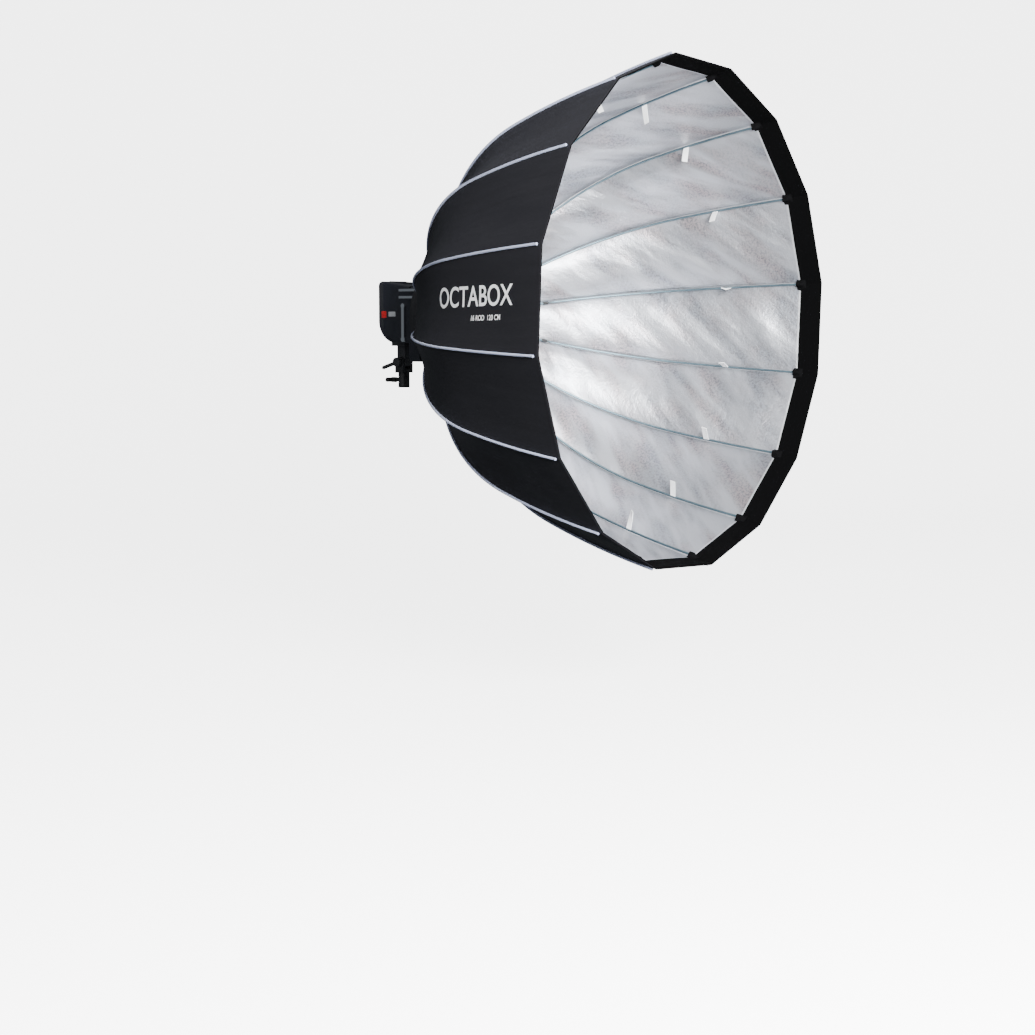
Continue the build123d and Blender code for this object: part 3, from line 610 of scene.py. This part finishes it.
def cloth_strip(name, rib, kind, inset, thickness, start, end, rows, material):
    """A strip from run start to run end, which rides on its rod."""
    bm = bmesh.new()
    bmesh.ops.create_grid(bm, x_segments=COLUMNS[kind], y_segments=rows, size=1.0)
    uv = bm.loops.layers.uv.new("cloth")
    hem = bm.verts.layers.float_vector.new("hem")
    spots = {}
    for vert in bm.verts:
        x, y = vert.co.x, vert.co.y
        side = (1 - cos(pi * abs(x))) / 2 * (1 if x >= 0 else -1)
        run = start + (end - start) * (1 - cos(pi * (y + 1) / 2)) / 2
        spots[vert] = (side, seam(run)[1] * sin(HALF), run)
        vert[hem] = Vector((abs(side) * spots[vert][1], run - LINER_START, 0))
        vert.co = cloth_point(rib, kind, side, run, inset)
    # Each panel has its own patch of the pattern, so a seam is where the pattern breaks.
    for face in bm.faces:
        half = 1 if sum(spots[vert][0] for vert in face.verts) > 0 else -1
        for loop in face.loops:
            side, width, run = spots[loop.vert]
            loop[uv].uv = ((side - half) * width + PANEL_STEP * rib.panel(half), run)
    for edge in bm.edges:
        if all(abs(spots[vert][0]) < 1e-6 for vert in edge.verts):
            edge.smooth = False
    bm.normal_update()
    if sum(face.normal.dot(rib.out) for face in bm.faces) < 0:
        bmesh.ops.reverse_faces(bm, faces=bm.faces)
        bm.normal_update()
    area = sum(face.calc_area() for face in bm.faces)
    bmesh.ops.solidify(bm, geom=bm.faces[:], thickness=thickness)
    piece = finish_mesh(bm, name, material)
    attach(piece, rib.body)
    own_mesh(piece)
    width = 2 * max(seam(start)[1], seam(end)[1]) * sin(HALF)
    return piece


# %% [markdown]
# The outside is black nylon and the inside silvered cloth. A folded box is narrow at its mouth and
# wider behind, so each strip is cut in five lengths. Each length has its own share: the share by
# which its rear end comes closer to the axis when the rods swing in.

# %% Lengths and their shares
FOLD = radians(joints["rod_01_fold"]["range_deg"][1])
HINGE_S = ribs[0].hinge.y - FRONT_Y
HINGE_R = hypot(ribs[0].hinge.x, ribs[0].hinge.z - AXIS_Z)
CUTS = (0.11, 0.22, 0.44, 0.66)


def share(run):
    """How near the axis a seam point comes when folded, over how near it is now."""
    s, r, _ = seam(min(run, SEAM_RUN))
    folded = HINGE_R + (r - HINGE_R) * cos(FOLD) - (HINGE_S - s) * sin(FOLD)
    return min(0.97, folded / r)


def lengths(first, last):
    """The stretches of seam between first and last, with the share of each."""
    marks = [first] + [cut for cut in CUTS if first < cut < last] + [last]
    return [(start, end, share(end)) for start, end in zip(marks, marks[1:])]


print("shares", [round(keep, 2) for _, _, keep in lengths(0.0, SEAM_RUN)])

# %% Outer cover
ROW_LENGTH = {"cover": 0.0095, "liner": 0.0075}


def rows_for(kind, start, end):
    return max(6, round((end - start) / ROW_LENGTH[kind]))


for rib in ribs:
    for number, (start, end, keep) in enumerate(lengths(0.0, SEAM_RUN), 1):
        name = f"cover_{rib.number:02d}_{number}"
        rows = rows_for("cover", start, end)
        strip = cloth_strip(name, rib, "cover", 0.0, COVER_T, start, end, rows, COVER)
        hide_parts("outer_cover")
print("cover panels", RIBS)

# %% Silver liner
LINER_RUN = SEAM_RUN - 0.026
for rib in ribs:
    for number, (start, end, keep) in enumerate(lengths(LINER_START, LINER_RUN), 1):
        name = f"liner_{rib.number:02d}_{number}"
        rows = rows_for("liner", start, end)
        strip = cloth_strip(name, rib, "liner", LINER_INSET, LINER_T, start, end, rows, LINER)
        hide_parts("inner_liner")
print("liner runs from", round(LINER_START, 3), "to", round(LINER_RUN, 3))

# %% Front lip
LIP_RUN = run_at(LIP_DEPTH, LINER_INSET)
for rib in ribs:
    name = f"lip_{rib.number:02d}"
    keep = share(CUTS[0])
    strip = cloth_strip(name, rib, "lip", LINER_INSET, LIP_T, 0.0, LIP_RUN, 8, LIP)
    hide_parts("front_lip")
print("lip run", round(LIP_RUN, 4))

# %% [markdown]
# ## Piping
# A pale cord covers every outer seam. It is a round section that runs along the seam line. A circle
# is extruded and turned from one place to the next, which keeps it square to the line, and each
# cord rides on its own rod.

# %% Sweeping a round section
def sweep_cord(name, frames, radius, sides, material):
    """A closed cord through frames, which are matrices that place the section."""
    bm = bmesh.new()
    uv = bm.loops.layers.uv.new("cord")
    made = bmesh.ops.create_circle(bm, cap_ends=True, radius=radius, segments=sides)["verts"]
    spots = {vert: (2 * pi * radius * i / sides, 0.0) for i, vert in enumerate(made)}
    bmesh.ops.transform(bm, matrix=frames[0], verts=made)
    edges, travelled = bm.edges[:], 0.0
    for before, after in zip(frames, frames[1:]):
        travelled += (after.translation - before.translation).length
        geometry = bmesh.ops.extrude_edge_only(bm, edges=edges)["geom"]
        verts = [item for item in geometry if isinstance(item, bmesh.types.BMVert)]
        edges = [item for item in geometry if isinstance(item, bmesh.types.BMEdge)]
        for vert in verts:
            source = next(e.other_vert(vert) for e in vert.link_edges if e.other_vert(vert) in spots)
            spots[vert] = (spots[source][0], travelled)
        bmesh.ops.transform(bm, matrix=after @ before.inverted(), verts=verts)
    bmesh.ops.edgeloop_fill(bm, edges=edges)
    bmesh.ops.recalc_face_normals(bm, faces=bm.faces)
    for face in bm.faces:
        for loop in face.loops:
            loop[uv].uv = spots[loop.vert]
    return finish_mesh(bm, name, material)


def seam_frame(rib, run, inset):
    """A matrix at a seam point: X across, Y square to the cloth, Z along the seam."""
    s, r, lean = seam(run, inset)
    along = (cos(lean) * BACKWARD - sin(lean) * rib.out).normalized()
    outward = (sin(lean) * BACKWARD + cos(lean) * rib.out).normalized()
    turn = Matrix((outward.cross(along), outward, along)).transposed().to_4x4()
    return Matrix.Translation(rib.place(s, r)) @ turn


# %% Sixteen cords
PIPING_R, PIPING_START, PIPING_SUNK = 0.003, 0.011, 0.0004
PIPING_STEPS, PIPING_SIDES = 60, 12
PIPING_STEP = (SEAM_RUN - PIPING_START) / PIPING_STEPS
for rib in ribs:
    runs = [PIPING_START + PIPING_STEP * i for i in range(PIPING_STEPS + 1)]
    frames = [seam_frame(rib, run, PIPING_SUNK - PIPING_R) for run in runs]
    cord = sweep_cord(f"piping_{rib.number:02d}", frames, PIPING_R, PIPING_SIDES, PIPING)
    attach(cord, rib.body)
    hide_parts("seam_piping")
print("piping length", round(SEAM_RUN - PIPING_START, 3))

# %% [markdown]
# ## White tabs and rod pockets
# A short tab of white webbing hangs inwards from every seam, a third of the way back. No two lean
# and twist alike. At the front a flat black patch, with a hump over the rod's cap, makes a pocket
# for the end of each rod. A grid makes both, and a wall gives them the thickness of the cloth.

# %% White tabs
STRAP_S, STRAP_LENGTH, STRAP_WIDTH, STRAP_T = 0.237, 0.048, 0.014, 0.0018
STRAP_ROOT, STRAP_LEAN, STRAP_TWIST, STRAP_CURL = 0.0116, 0.012, 1.1, 0.0007
ROD_INSET, ROD_R, CAP_R = 0.0088, 0.00275, 0.0042


def grid_strip(name, columns, rows, place, thickness, material):
    """A strip of cloth. place turns (x, y) from -1 to 1 into a point and its UV in metres."""
    bm = bmesh.new()
    uv = bm.loops.layers.uv.new("cloth")
    bmesh.ops.create_grid(bm, x_segments=columns, y_segments=rows, size=1.0)
    spots = {}
    for vert in bm.verts:
        vert.co, spots[vert] = place(vert.co.x, vert.co.y)
    for face in bm.faces:
        for loop in face.loops:
            loop[uv].uv = spots[loop.vert]
    bm.normal_update()
    area = sum(face.calc_area() for face in bm.faces)
    bmesh.ops.solidify(bm, geom=bm.faces[:], thickness=thickness)
    bmesh.ops.recalc_face_normals(bm, faces=bm.faces)
    return finish_mesh(bm, name, material), area


for rib in ribs:
    root = seam_frame(rib, run_at(STRAP_S, ROD_INSET), STRAP_ROOT)
    lean_by = STRAP_LEAN * noise.noise(Vector((rib.number * 4.1, 0, 0)))
    twist_by = STRAP_TWIST * noise.noise(Vector((rib.number * 2.3, 5, 0)))

    def tab(x, y):
        depth = (y + 1) / 2
        half, twist = x * STRAP_WIDTH / 2, twist_by * depth
        curl = lean_by * depth * depth + STRAP_CURL * sin(pi * depth) + half * sin(twist)
        spot = Vector((curl, -STRAP_LENGTH * depth, half * cos(twist)))
        return root @ spot, (half, STRAP_LENGTH * depth)

    strap, area = grid_strip(f"white_tab_{rib.number:02d}", 6, 24, tab, STRAP_T, STRAP)
    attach(strap, rib.body)
    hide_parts("strap_set")

# %% Rod pockets
POCKET_LENGTH, POCKET_WALL, POCKET_PAST_LIP = 0.024, 0.0010, 0.010
POCKET_FIRST, POCKET_LAST, HUMP_HALF = -0.021, 0.011, 0.0105
LIP_FACE = LINER_INSET + LIP_T + CLOTH_GAP
HUMP = ROD_INSET - LIP_FACE + CAP_R + POCKET_WALL + CLOTH_GAP
HUMP_BACK = 0.45
for rib in ribs:

    def pocket(x, y):
        side = POCKET_FIRST + (POCKET_LAST - POCKET_FIRST) * (x + 1) / 2
        forward_share = (y + 1) / 2
        bell = (1 + cos(pi * min(1.0, abs(side) / HUMP_HALF))) / 2
        bell *= (1 + cos(pi * max(0.0, forward_share - HUMP_BACK) / (1 - HUMP_BACK))) / 2
        run = LINER_START + POCKET_PAST_LIP - POCKET_LENGTH * forward_share
        spot = Vector((side, -HUMP * bell - POCKET_WALL, 0))
        return seam_frame(rib, run, LIP_FACE) @ spot, (side, run)

    patch, area = grid_strip(f"rod_pocket_{rib.number:02d}", 30, 18, pocket, POCKET_WALL, POCKET)
    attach(patch, rib.body)
    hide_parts("tip_pockets")
print("tabs and pockets", RIBS, "each")

# %% [markdown]
# ## Collar
# A sleeve closes the gap round the ring. It is a band of cloth sewn into a tube, a little thicker
# at both hems. The same flat grid is wrapped once round the ring, and its ends meet underneath.

# %% Collar
RING_R, COLLAR_T, COLLAR_WALL = 0.128, 0.002, 0.0012
COLLAR_R = RING_R + CLOTH_GAP + COLLAR_T / 2
COLLAR_HEM, COLLAR_RUCK, HEM_SHARE = 0.0003, 0.0003, 0.12
ring_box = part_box("speedring")
COLLAR_START = ring_box[0][1]
COLLAR_WIDTH = ring_box[1][1] - COLLAR_START


def collar_place(x, y):
    angle, along = x * pi, (y + 1) / 2
    hem = max(0.0, 1 - min(along, 1 - along) / HEM_SHARE)
    ruck = noise.noise(Vector((4 * sin(angle), 4 * cos(angle), along * 5)))
    radius = COLLAR_R + COLLAR_HEM * hem + COLLAR_RUCK * ruck
    depth = COLLAR_START + COLLAR_WIDTH * along
    spot = Vector((radius * sin(angle), depth, AXIS_Z + radius * cos(angle)))
    return spot, (angle * COLLAR_R, along * COLLAR_WIDTH)


collar, area = grid_strip("collar_sleeve", 180, 16, collar_place, COLLAR_WALL, COLLAR)
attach(collar, "octabox")
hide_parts("rear_collar")

# %% [markdown]
# ## Printed mark
# A pale print runs along one panel: a plain word, and a line with the size. Text is turned into a
# mesh, cut along the panel's middle and wherever one length of cloth meets the next, and each part
# is laid on its own strip and rides on that strip's rod, so it moves with the cloth when the box folds.

# %% Words as a flat mesh
def words_mesh(name, words, height, **settings):
    """Words centred on the origin. Settings name properties of the text curve."""
    curve = bpy.data.curves.new(name, "FONT")
    curve.body = words
    curve.size = height
    curve.align_x = "CENTER"
    curve.align_y = "CENTER"
    for label, value in settings.items():
        setattr(curve, label, value)
    text = bpy.data.objects.new(name, curve)
    bpy.context.scene.collection.objects.link(text)
    bpy.context.view_layer.update()
    mesh = bpy.data.meshes.new_from_object(text)
    bpy.data.objects.remove(text)
    return mesh


def welded(mesh):
    """A bmesh of the words, with the loose points of each letter joined."""
    bm = bmesh.new()
    bm.from_mesh(mesh)
    bmesh.ops.remove_doubles(bm, verts=bm.verts, dist=1e-6)
    return bm


# %% Laying print on a panel
MARK_RIBS = (12, 13)
PRINT_LIFT, PRINT_BOLD, LONG_EDGE = 0.0003, 0.012, 0.012


def keep_part(bm, point, direction):
    """Cuts flat print at a point and drops what lies against direction."""
    geometry = bm.verts[:] + bm.edges[:] + bm.faces[:]
    bmesh.ops.bisect_plane(
        bm, geom=geometry, plane_co=Vector(point), plane_no=Vector(direction), clear_inner=True
    )


def lay_print(bm, rib, sign, centre_run, centre_side):
    """Moves flat print onto the half panel on one side of a rib. Print x runs against the seam."""
    bmesh.ops.triangulate(bm, faces=bm.faces)
    long_edges = [edge for edge in bm.edges if edge.calc_length() > LONG_EDGE]
    bmesh.ops.subdivide_edges(bm, edges=long_edges, cuts=4)
    bmesh.ops.triangulate(bm, faces=bm.faces)
    facing = cos(HALF) * rib.out + sign * sin(HALF) * rib.across
    for vert in bm.verts:
        run = centre_run - vert.co.x
        beside = abs(vert.co.y + centre_side)
        side = sign * (1 - beside / (seam(run)[1] * sin(HALF)))
        vert.co = cloth_point(rib, "cover", side, run, 0.0) + PRINT_LIFT * facing
    bm.normal_update()
    if sum(face.normal.dot(rib.out) for face in bm.faces) < 0:
        bmesh.ops.reverse_faces(bm, faces=bm.faces)


def print_on_panel(name, words, height, centre_run, centre_side):
    """Words along the panel between two ribs, reading from the ring towards the front edge."""
    flat_mesh = words_mesh(name, words, height, offset=height * PRINT_BOLD)
    for rib_number, sign in zip(MARK_RIBS, (1, -1)):
        rib = ribs[rib_number - 1]
        for number, (start, end, keep) in enumerate(lengths(0.0, SEAM_RUN), 1):
            bm = welded(flat_mesh)
            keep_part(bm, (0, -centre_side, 0), (0, -sign, 0))
            keep_part(bm, (centre_run - start, 0, 0), (-1, 0, 0))
            keep_part(bm, (centre_run - end, 0, 0), (1, 0, 0))
            if not bm.faces:
                bm.free()
                continue
            lay_print(bm, rib, sign, centre_run, centre_side)
            piece = finish_mesh(bm, f"{name}_{rib_number}_{number}", MARK)
            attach(piece, rib.body)
            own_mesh(piece)
            print(piece.name, "faces", len(piece.data.polygons))


print_on_panel("mark_large", "OCTABOX", 0.064, 0.25, 0.012)
print_on_panel("mark_small", "16 ROD  120 CM", 0.0165, 0.196, -0.034)

# %% [markdown]
# ## Finishes for the hard parts
# The hard parts already have their true shape. Each takes its finish by name. A rod's cap and its
# dark stud belong to the rod's own mesh, so those faces are found by place and given a second one.

# %% Dressing the frame's own parts
FINISHES = {
    "speedring": RING,
    "hinge_pins": STEEL,
    "mount_insert": ALLOY,
    "retainer_ring": ALLOY,
    "front_housing": CASING,
    "head_shell": CASING,
    "rear_panel": PANEL,
    "glass_dome": GLASS,
    "flash_tube": GLASS,
    "modelling_lamp": CERAMIC,
    "side_trims": BRIGHT,
    "mains_inlet": RUBBER,
    "control_dial": RUBBER,
    "test_button": GREY,
    "power_rocker": RUBBER,
    "bayonet_lever": BRIGHT,
    "head_lug": BRACKET,
    "stand_socket": BRACKET,
    "tilt_bolt": STEEL,
    "tilt_lever": BRACKET,
    "clamp_knob": RUBBER,
}
for rib in ribs:
    FINISHES[f"rod_{rib.number:02d}"] = ROD
    FINISHES[f"rod_holder_{rib.number:02d}"] = HOLDER
for node, material in FINISHES.items():
    mesh = nodes[node].data
    mesh.materials.clear()
    mesh.materials.append(material)
print("finished parts", len(FINISHES))

# %% Caps and studs of the rods
STUD_S, STUD_HALF, TIP_S = 0.633, 0.009, 0.0625
for rib in ribs:
    rod = nodes[f"rod_{rib.number:02d}"].data
    rod.materials.append(STUD)
    for polygon in rod.polygons:
        centre = polygon.center
        s = centre.y - FRONT_Y
        r = hypot(centre.x, centre.z - AXIS_Z)
        line_s, line_r, _ = seam(run_at(s, ROD_INSET), ROD_INSET)
        off_line = hypot(s - line_s, r - line_r)
        if s < TIP_S or (abs(s - STUD_S) < STUD_HALF and off_line > ROD_R * 0.9):
            polygon.material_index = 1

# %% [markdown]
# ## Badges on the head
# Two small plates sit on each side of the casing: a red one and a pale one, both left plain. Each
# is a cube flattened to its size, with rounded corners and a soft top edge.

# %% Plates
PLATE_T, PLATE_SUNK = 0.0008, 0.0001
HEAD_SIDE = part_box("head_shell")[1][0]


def bevel(bm, edges, offset, segments):
    """Rounds edges. Every setting is given, because bmesh starts from other ones."""
    bmesh.ops.bevel(
        bm, geom=edges, offset=offset, segments=segments, profile=0.5, affect="EDGES", material=-1
    )


def plate(name, centre, size, corner, material):
    """A thin rounded plate on the head, size (x, y, z), rounded across its thin direction."""
    bm = bmesh.new()
    bmesh.ops.create_cube(bm, size=1.0)
    bmesh.ops.scale(bm, vec=Vector(size), verts=bm.verts)
    thin = min(range(3), key=lambda axis: size[axis])
    corners = [
        edge
        for edge in bm.edges
        if abs((edge.verts[0].co - edge.verts[1].co)[thin]) > size[thin] * 0.9
    ]
    bevel(bm, corners, corner, 5)
    rims = [
        edge
        for edge in bm.edges
        if edge.is_manifold and edge.calc_face_angle() > radians(70)
    ]
    bevel(bm, rims, size[thin] * 0.3, 2)
    bmesh.ops.translate(bm, vec=Vector(centre), verts=bm.verts)
    piece = finish_mesh(bm, name, material)
    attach(piece, "head")


for side, word in ((-1, "left"), (1, "right")):
    x = side * (HEAD_SIDE - PLATE_SUNK)
    red, pale = (PLATE_T, 0.017, 0.017), (PLATE_T, 0.025, 0.013)
    plate(f"badge_red_{word}", (x, 0.013, AXIS_Z + 0.006), red, 0.0025, BADGE_RED)
    plate(f"badge_pale_{word}", (x, -0.015, AXIS_Z + 0.007), pale, 0.002, BADGE_PALE)
print("badges stand", round(PLATE_T / 2 - PLATE_SUNK, 4), "proud of the head")

# %% [markdown]
# ## Small fittings on the head
# Screws hold the rear panel, louvres let the heat out at the top, and numbers show the dial's steps.
# A screw is a short drum whose top face is set in and pushed down to make the socket. A louvre is
# a bar with rounded edges, laid along the slope of the top.

# %% Screws
REAR_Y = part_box("head_shell")[1][1] + 0.0201
SCREW_R, SCREW_DEPTH, SOCKET_DEPTH = 0.0026, 0.0016, 0.0009
SCREW_X, SCREW_LOW, SCREW_HIGH = 0.05, 0.008, 0.072


def top_face(bm):
    return max(bm.faces, key=lambda face: face.calc_center_median().z)


def screw(name, place):
    """A socket-headed screw that faces the rear, at place."""
    bm = bmesh.new()
    bmesh.ops.create_cone(
        bm, cap_ends=True, segments=30, radius1=SCREW_R, radius2=SCREW_R, depth=SCREW_DEPTH
    )
    bevel(bm, list(top_face(bm).edges), 0.0004, 3)
    top = top_face(bm)
    bmesh.ops.inset_region(bm, faces=[top], thickness=SCREW_R * 0.42)
    bmesh.ops.translate(bm, vec=Vector((0, 0, -SOCKET_DEPTH)), verts=list(top.verts))
    bmesh.ops.rotate(bm, matrix=Matrix.Rotation(-pi / 2, 3, "X"), verts=bm.verts)
    bmesh.ops.translate(bm, vec=Vector(place), verts=bm.verts)
    piece = finish_mesh(bm, name, STEEL)
    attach(piece, "head")


places = [(x, z) for z in (SCREW_LOW, SCREW_HIGH) for x in (-SCREW_X, SCREW_X)]
for number, (x, z) in enumerate(places, 1):
    screw(f"panel_screw_{number}", (x, REAR_Y, AXIS_Z + z))
print("screws", len(places))

# %% Louvres on the sloping top
TOP_FRONT, TOP_REAR = Vector((0, -0.074, 0.078)), Vector((0, 0.035, 0.094))
LOUVRE_SIZE, LOUVRE_LIFT = (0.062, 0.0032, 0.0022), 0.0004
LOUVRES, FIRST_LOUVRE, LOUVRE_STEP = 7, 0.44, 0.07
slope = atan2(TOP_REAR.z - TOP_FRONT.z, TOP_REAR.y - TOP_FRONT.y)
bm = bmesh.new()
placed = set()
for number in range(LOUVRES):
    spot = TOP_FRONT.lerp(TOP_REAR, FIRST_LOUVRE + LOUVRE_STEP * number)
    made = bmesh.ops.create_cube(bm, size=1.0)["verts"]
    bmesh.ops.scale(bm, vec=Vector(LOUVRE_SIZE), verts=made)
    bevel(bm, [edge for edge in bm.edges if edge.verts[0] not in placed], 0.0009, 3)
    # The bevel made new points, so this bar is every point that isn't in its place yet.
    bar = [vert for vert in bm.verts if vert not in placed]
    bmesh.ops.rotate(bm, matrix=Matrix.Rotation(slope, 3, "X"), verts=bar)
    bmesh.ops.translate(bm, vec=spot + Vector((0, 0, AXIS_Z + LOUVRE_LIFT)), verts=bar)
    placed.update(bar)
louvres = finish_mesh(bm, "top_louvres", PANEL)
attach(louvres, "head")
print("louvres", LOUVRES)

# %% Dial numbers and display
DIAL_Z, NUMBER_RING, NUMBER_HEIGHT = 0.040, 0.0185, 0.0046
DIAL_NUMBERS, DIAL_SWEEP = 9, radians(260)
READ_FROM_BEHIND = Matrix(((-1, 0, 0), (0, 0, 1), (0, 1, 0))).to_4x4()
for number in range(1, DIAL_NUMBERS + 1):
    angle = DIAL_SWEEP * ((number - 1) / (DIAL_NUMBERS - 1) - 0.5)
    x, z = -NUMBER_RING * sin(angle), DIAL_Z + NUMBER_RING * cos(angle)
    name = f"dial_number_{number}"
    bm = welded(words_mesh(name, str(number), NUMBER_HEIGHT, extrude=0.00015))
    bmesh.ops.transform(bm, matrix=READ_FROM_BEHIND, verts=bm.verts)
    bmesh.ops.translate(bm, vec=Vector((x, REAR_Y + 0.0001, AXIS_Z + z)), verts=bm.verts)
    piece = finish_mesh(bm, name, BADGE_PALE)
    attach(piece, "head")
plate("display", (0, REAR_Y + 0.0004, AXIS_Z + 0.071), (0.050, 0.0016, 0.011), 0.002, DISPLAY)
print("dial numbers", DIAL_NUMBERS)

# %% [markdown]
# ## Floor and light
# The floor is plain and pale and rises behind into a wall, so no line shows. It glows by itself,
# because lights strong enough for a white floor would wash out the silver. One big soft light
# beside the camera shines into the box, a second fills the far side and a third touches the top.

# %% Floor
FLOOR_Z, FLOOR_HALF_WIDTH, FLOOR_NEAR = -0.78, 12.0, -9.0
WALL_FOOT, WALL_BEND, WALL_STRETCH, FLAT_SHARE = 4.5, 4.0, 1.6, 0.6
sideways = Vector((rightward.x, rightward.y, 0)).normalized()
away = Vector((forward.x, forward.y, 0)).normalized()
floor_mesh = bmesh.new()
bmesh.ops.create_grid(floor_mesh, x_segments=2, y_segments=40, size=1.0)
for vert in floor_mesh.verts:
    along = (vert.co.y + 1) / 2
    turn = max(0.0, along - FLAT_SHARE) / (1 - FLAT_SHARE) * pi / 2
    flat_reach = FLOOR_NEAR + (WALL_FOOT - FLOOR_NEAR) * min(1.0, along / FLAT_SHARE)
    reach = flat_reach + WALL_BEND * sin(turn)
    rise = WALL_BEND * (1 - cos(turn)) * WALL_STRETCH
    across = vert.co.x * FLOOR_HALF_WIDTH
    vert.co = across * sideways + reach * away + Vector((0, 0, FLOOR_Z + rise))
bmesh.ops.recalc_face_normals(floor_mesh, faces=floor_mesh.faces)
floor_paint, _, _, _ = new_material(
    "floor_paint", (0.93, 0.93, 0.93), 0.85, Emission_Color=(1, 1, 1, 1), Emission_Strength=4.2
)
floor = finish_mesh(floor_mesh, "floor", floor_paint)
# The floor is bright to the eye, but it throws no light up into the box.
floor.visible_diffuse = False
floor.visible_glossy = False


# %% Lights
def soft_light(name, place, target, size, power):
    """A square light at place that shines towards target."""
    data = bpy.data.lights.new(name, "AREA")
    data.shape = "SQUARE"
    data.size = size
    data.energy = power
    light = bpy.data.objects.new(name, data)
    aim = (Vector(target) - Vector(place)).to_track_quat("-Z", "Y")
    light.matrix_world = Matrix.Translation(place) @ aim.to_matrix().to_4x4()
    bpy.context.scene.collection.objects.link(light)


target = (0, FRONT_Y + 0.4, AXIS_Z)
beside_camera = front_centre - 3.6 * forward + 0.9 * rightward + Vector((0, 0, 0.35))
soft_light("key", beside_camera, target, 1.6, 780)
soft_light("fill", front_centre - 2.6 * forward - 2.6 * rightward + Vector((0, 0, 1.0)), target, 2.0, 30)
soft_light("top", Vector((0.4, 0.2, 3.2)), target, 2.6, 12)
# The room gives little light of its own, but looks about as pale as the floor.
ROOM_LIGHT, ROOM_SEEN = 0.16, 4.0
world = bpy.data.worlds.new("room")
world.use_nodes = True
room = world.node_tree
backdrop = room.nodes["Background"]
backdrop.inputs["Color"].default_value = (0.84, 0.92, 1, 1)
ray = add(room, "LightPath")
seen = math_node(room, "MULTIPLY_ADD", ray.outputs["Is Camera Ray"], ROOM_SEEN, ROOM_LIGHT)
room.links.new(seen, backdrop.inputs["Strength"])
bpy.context.scene.world = world
print("lights", len(bpy.data.lights))
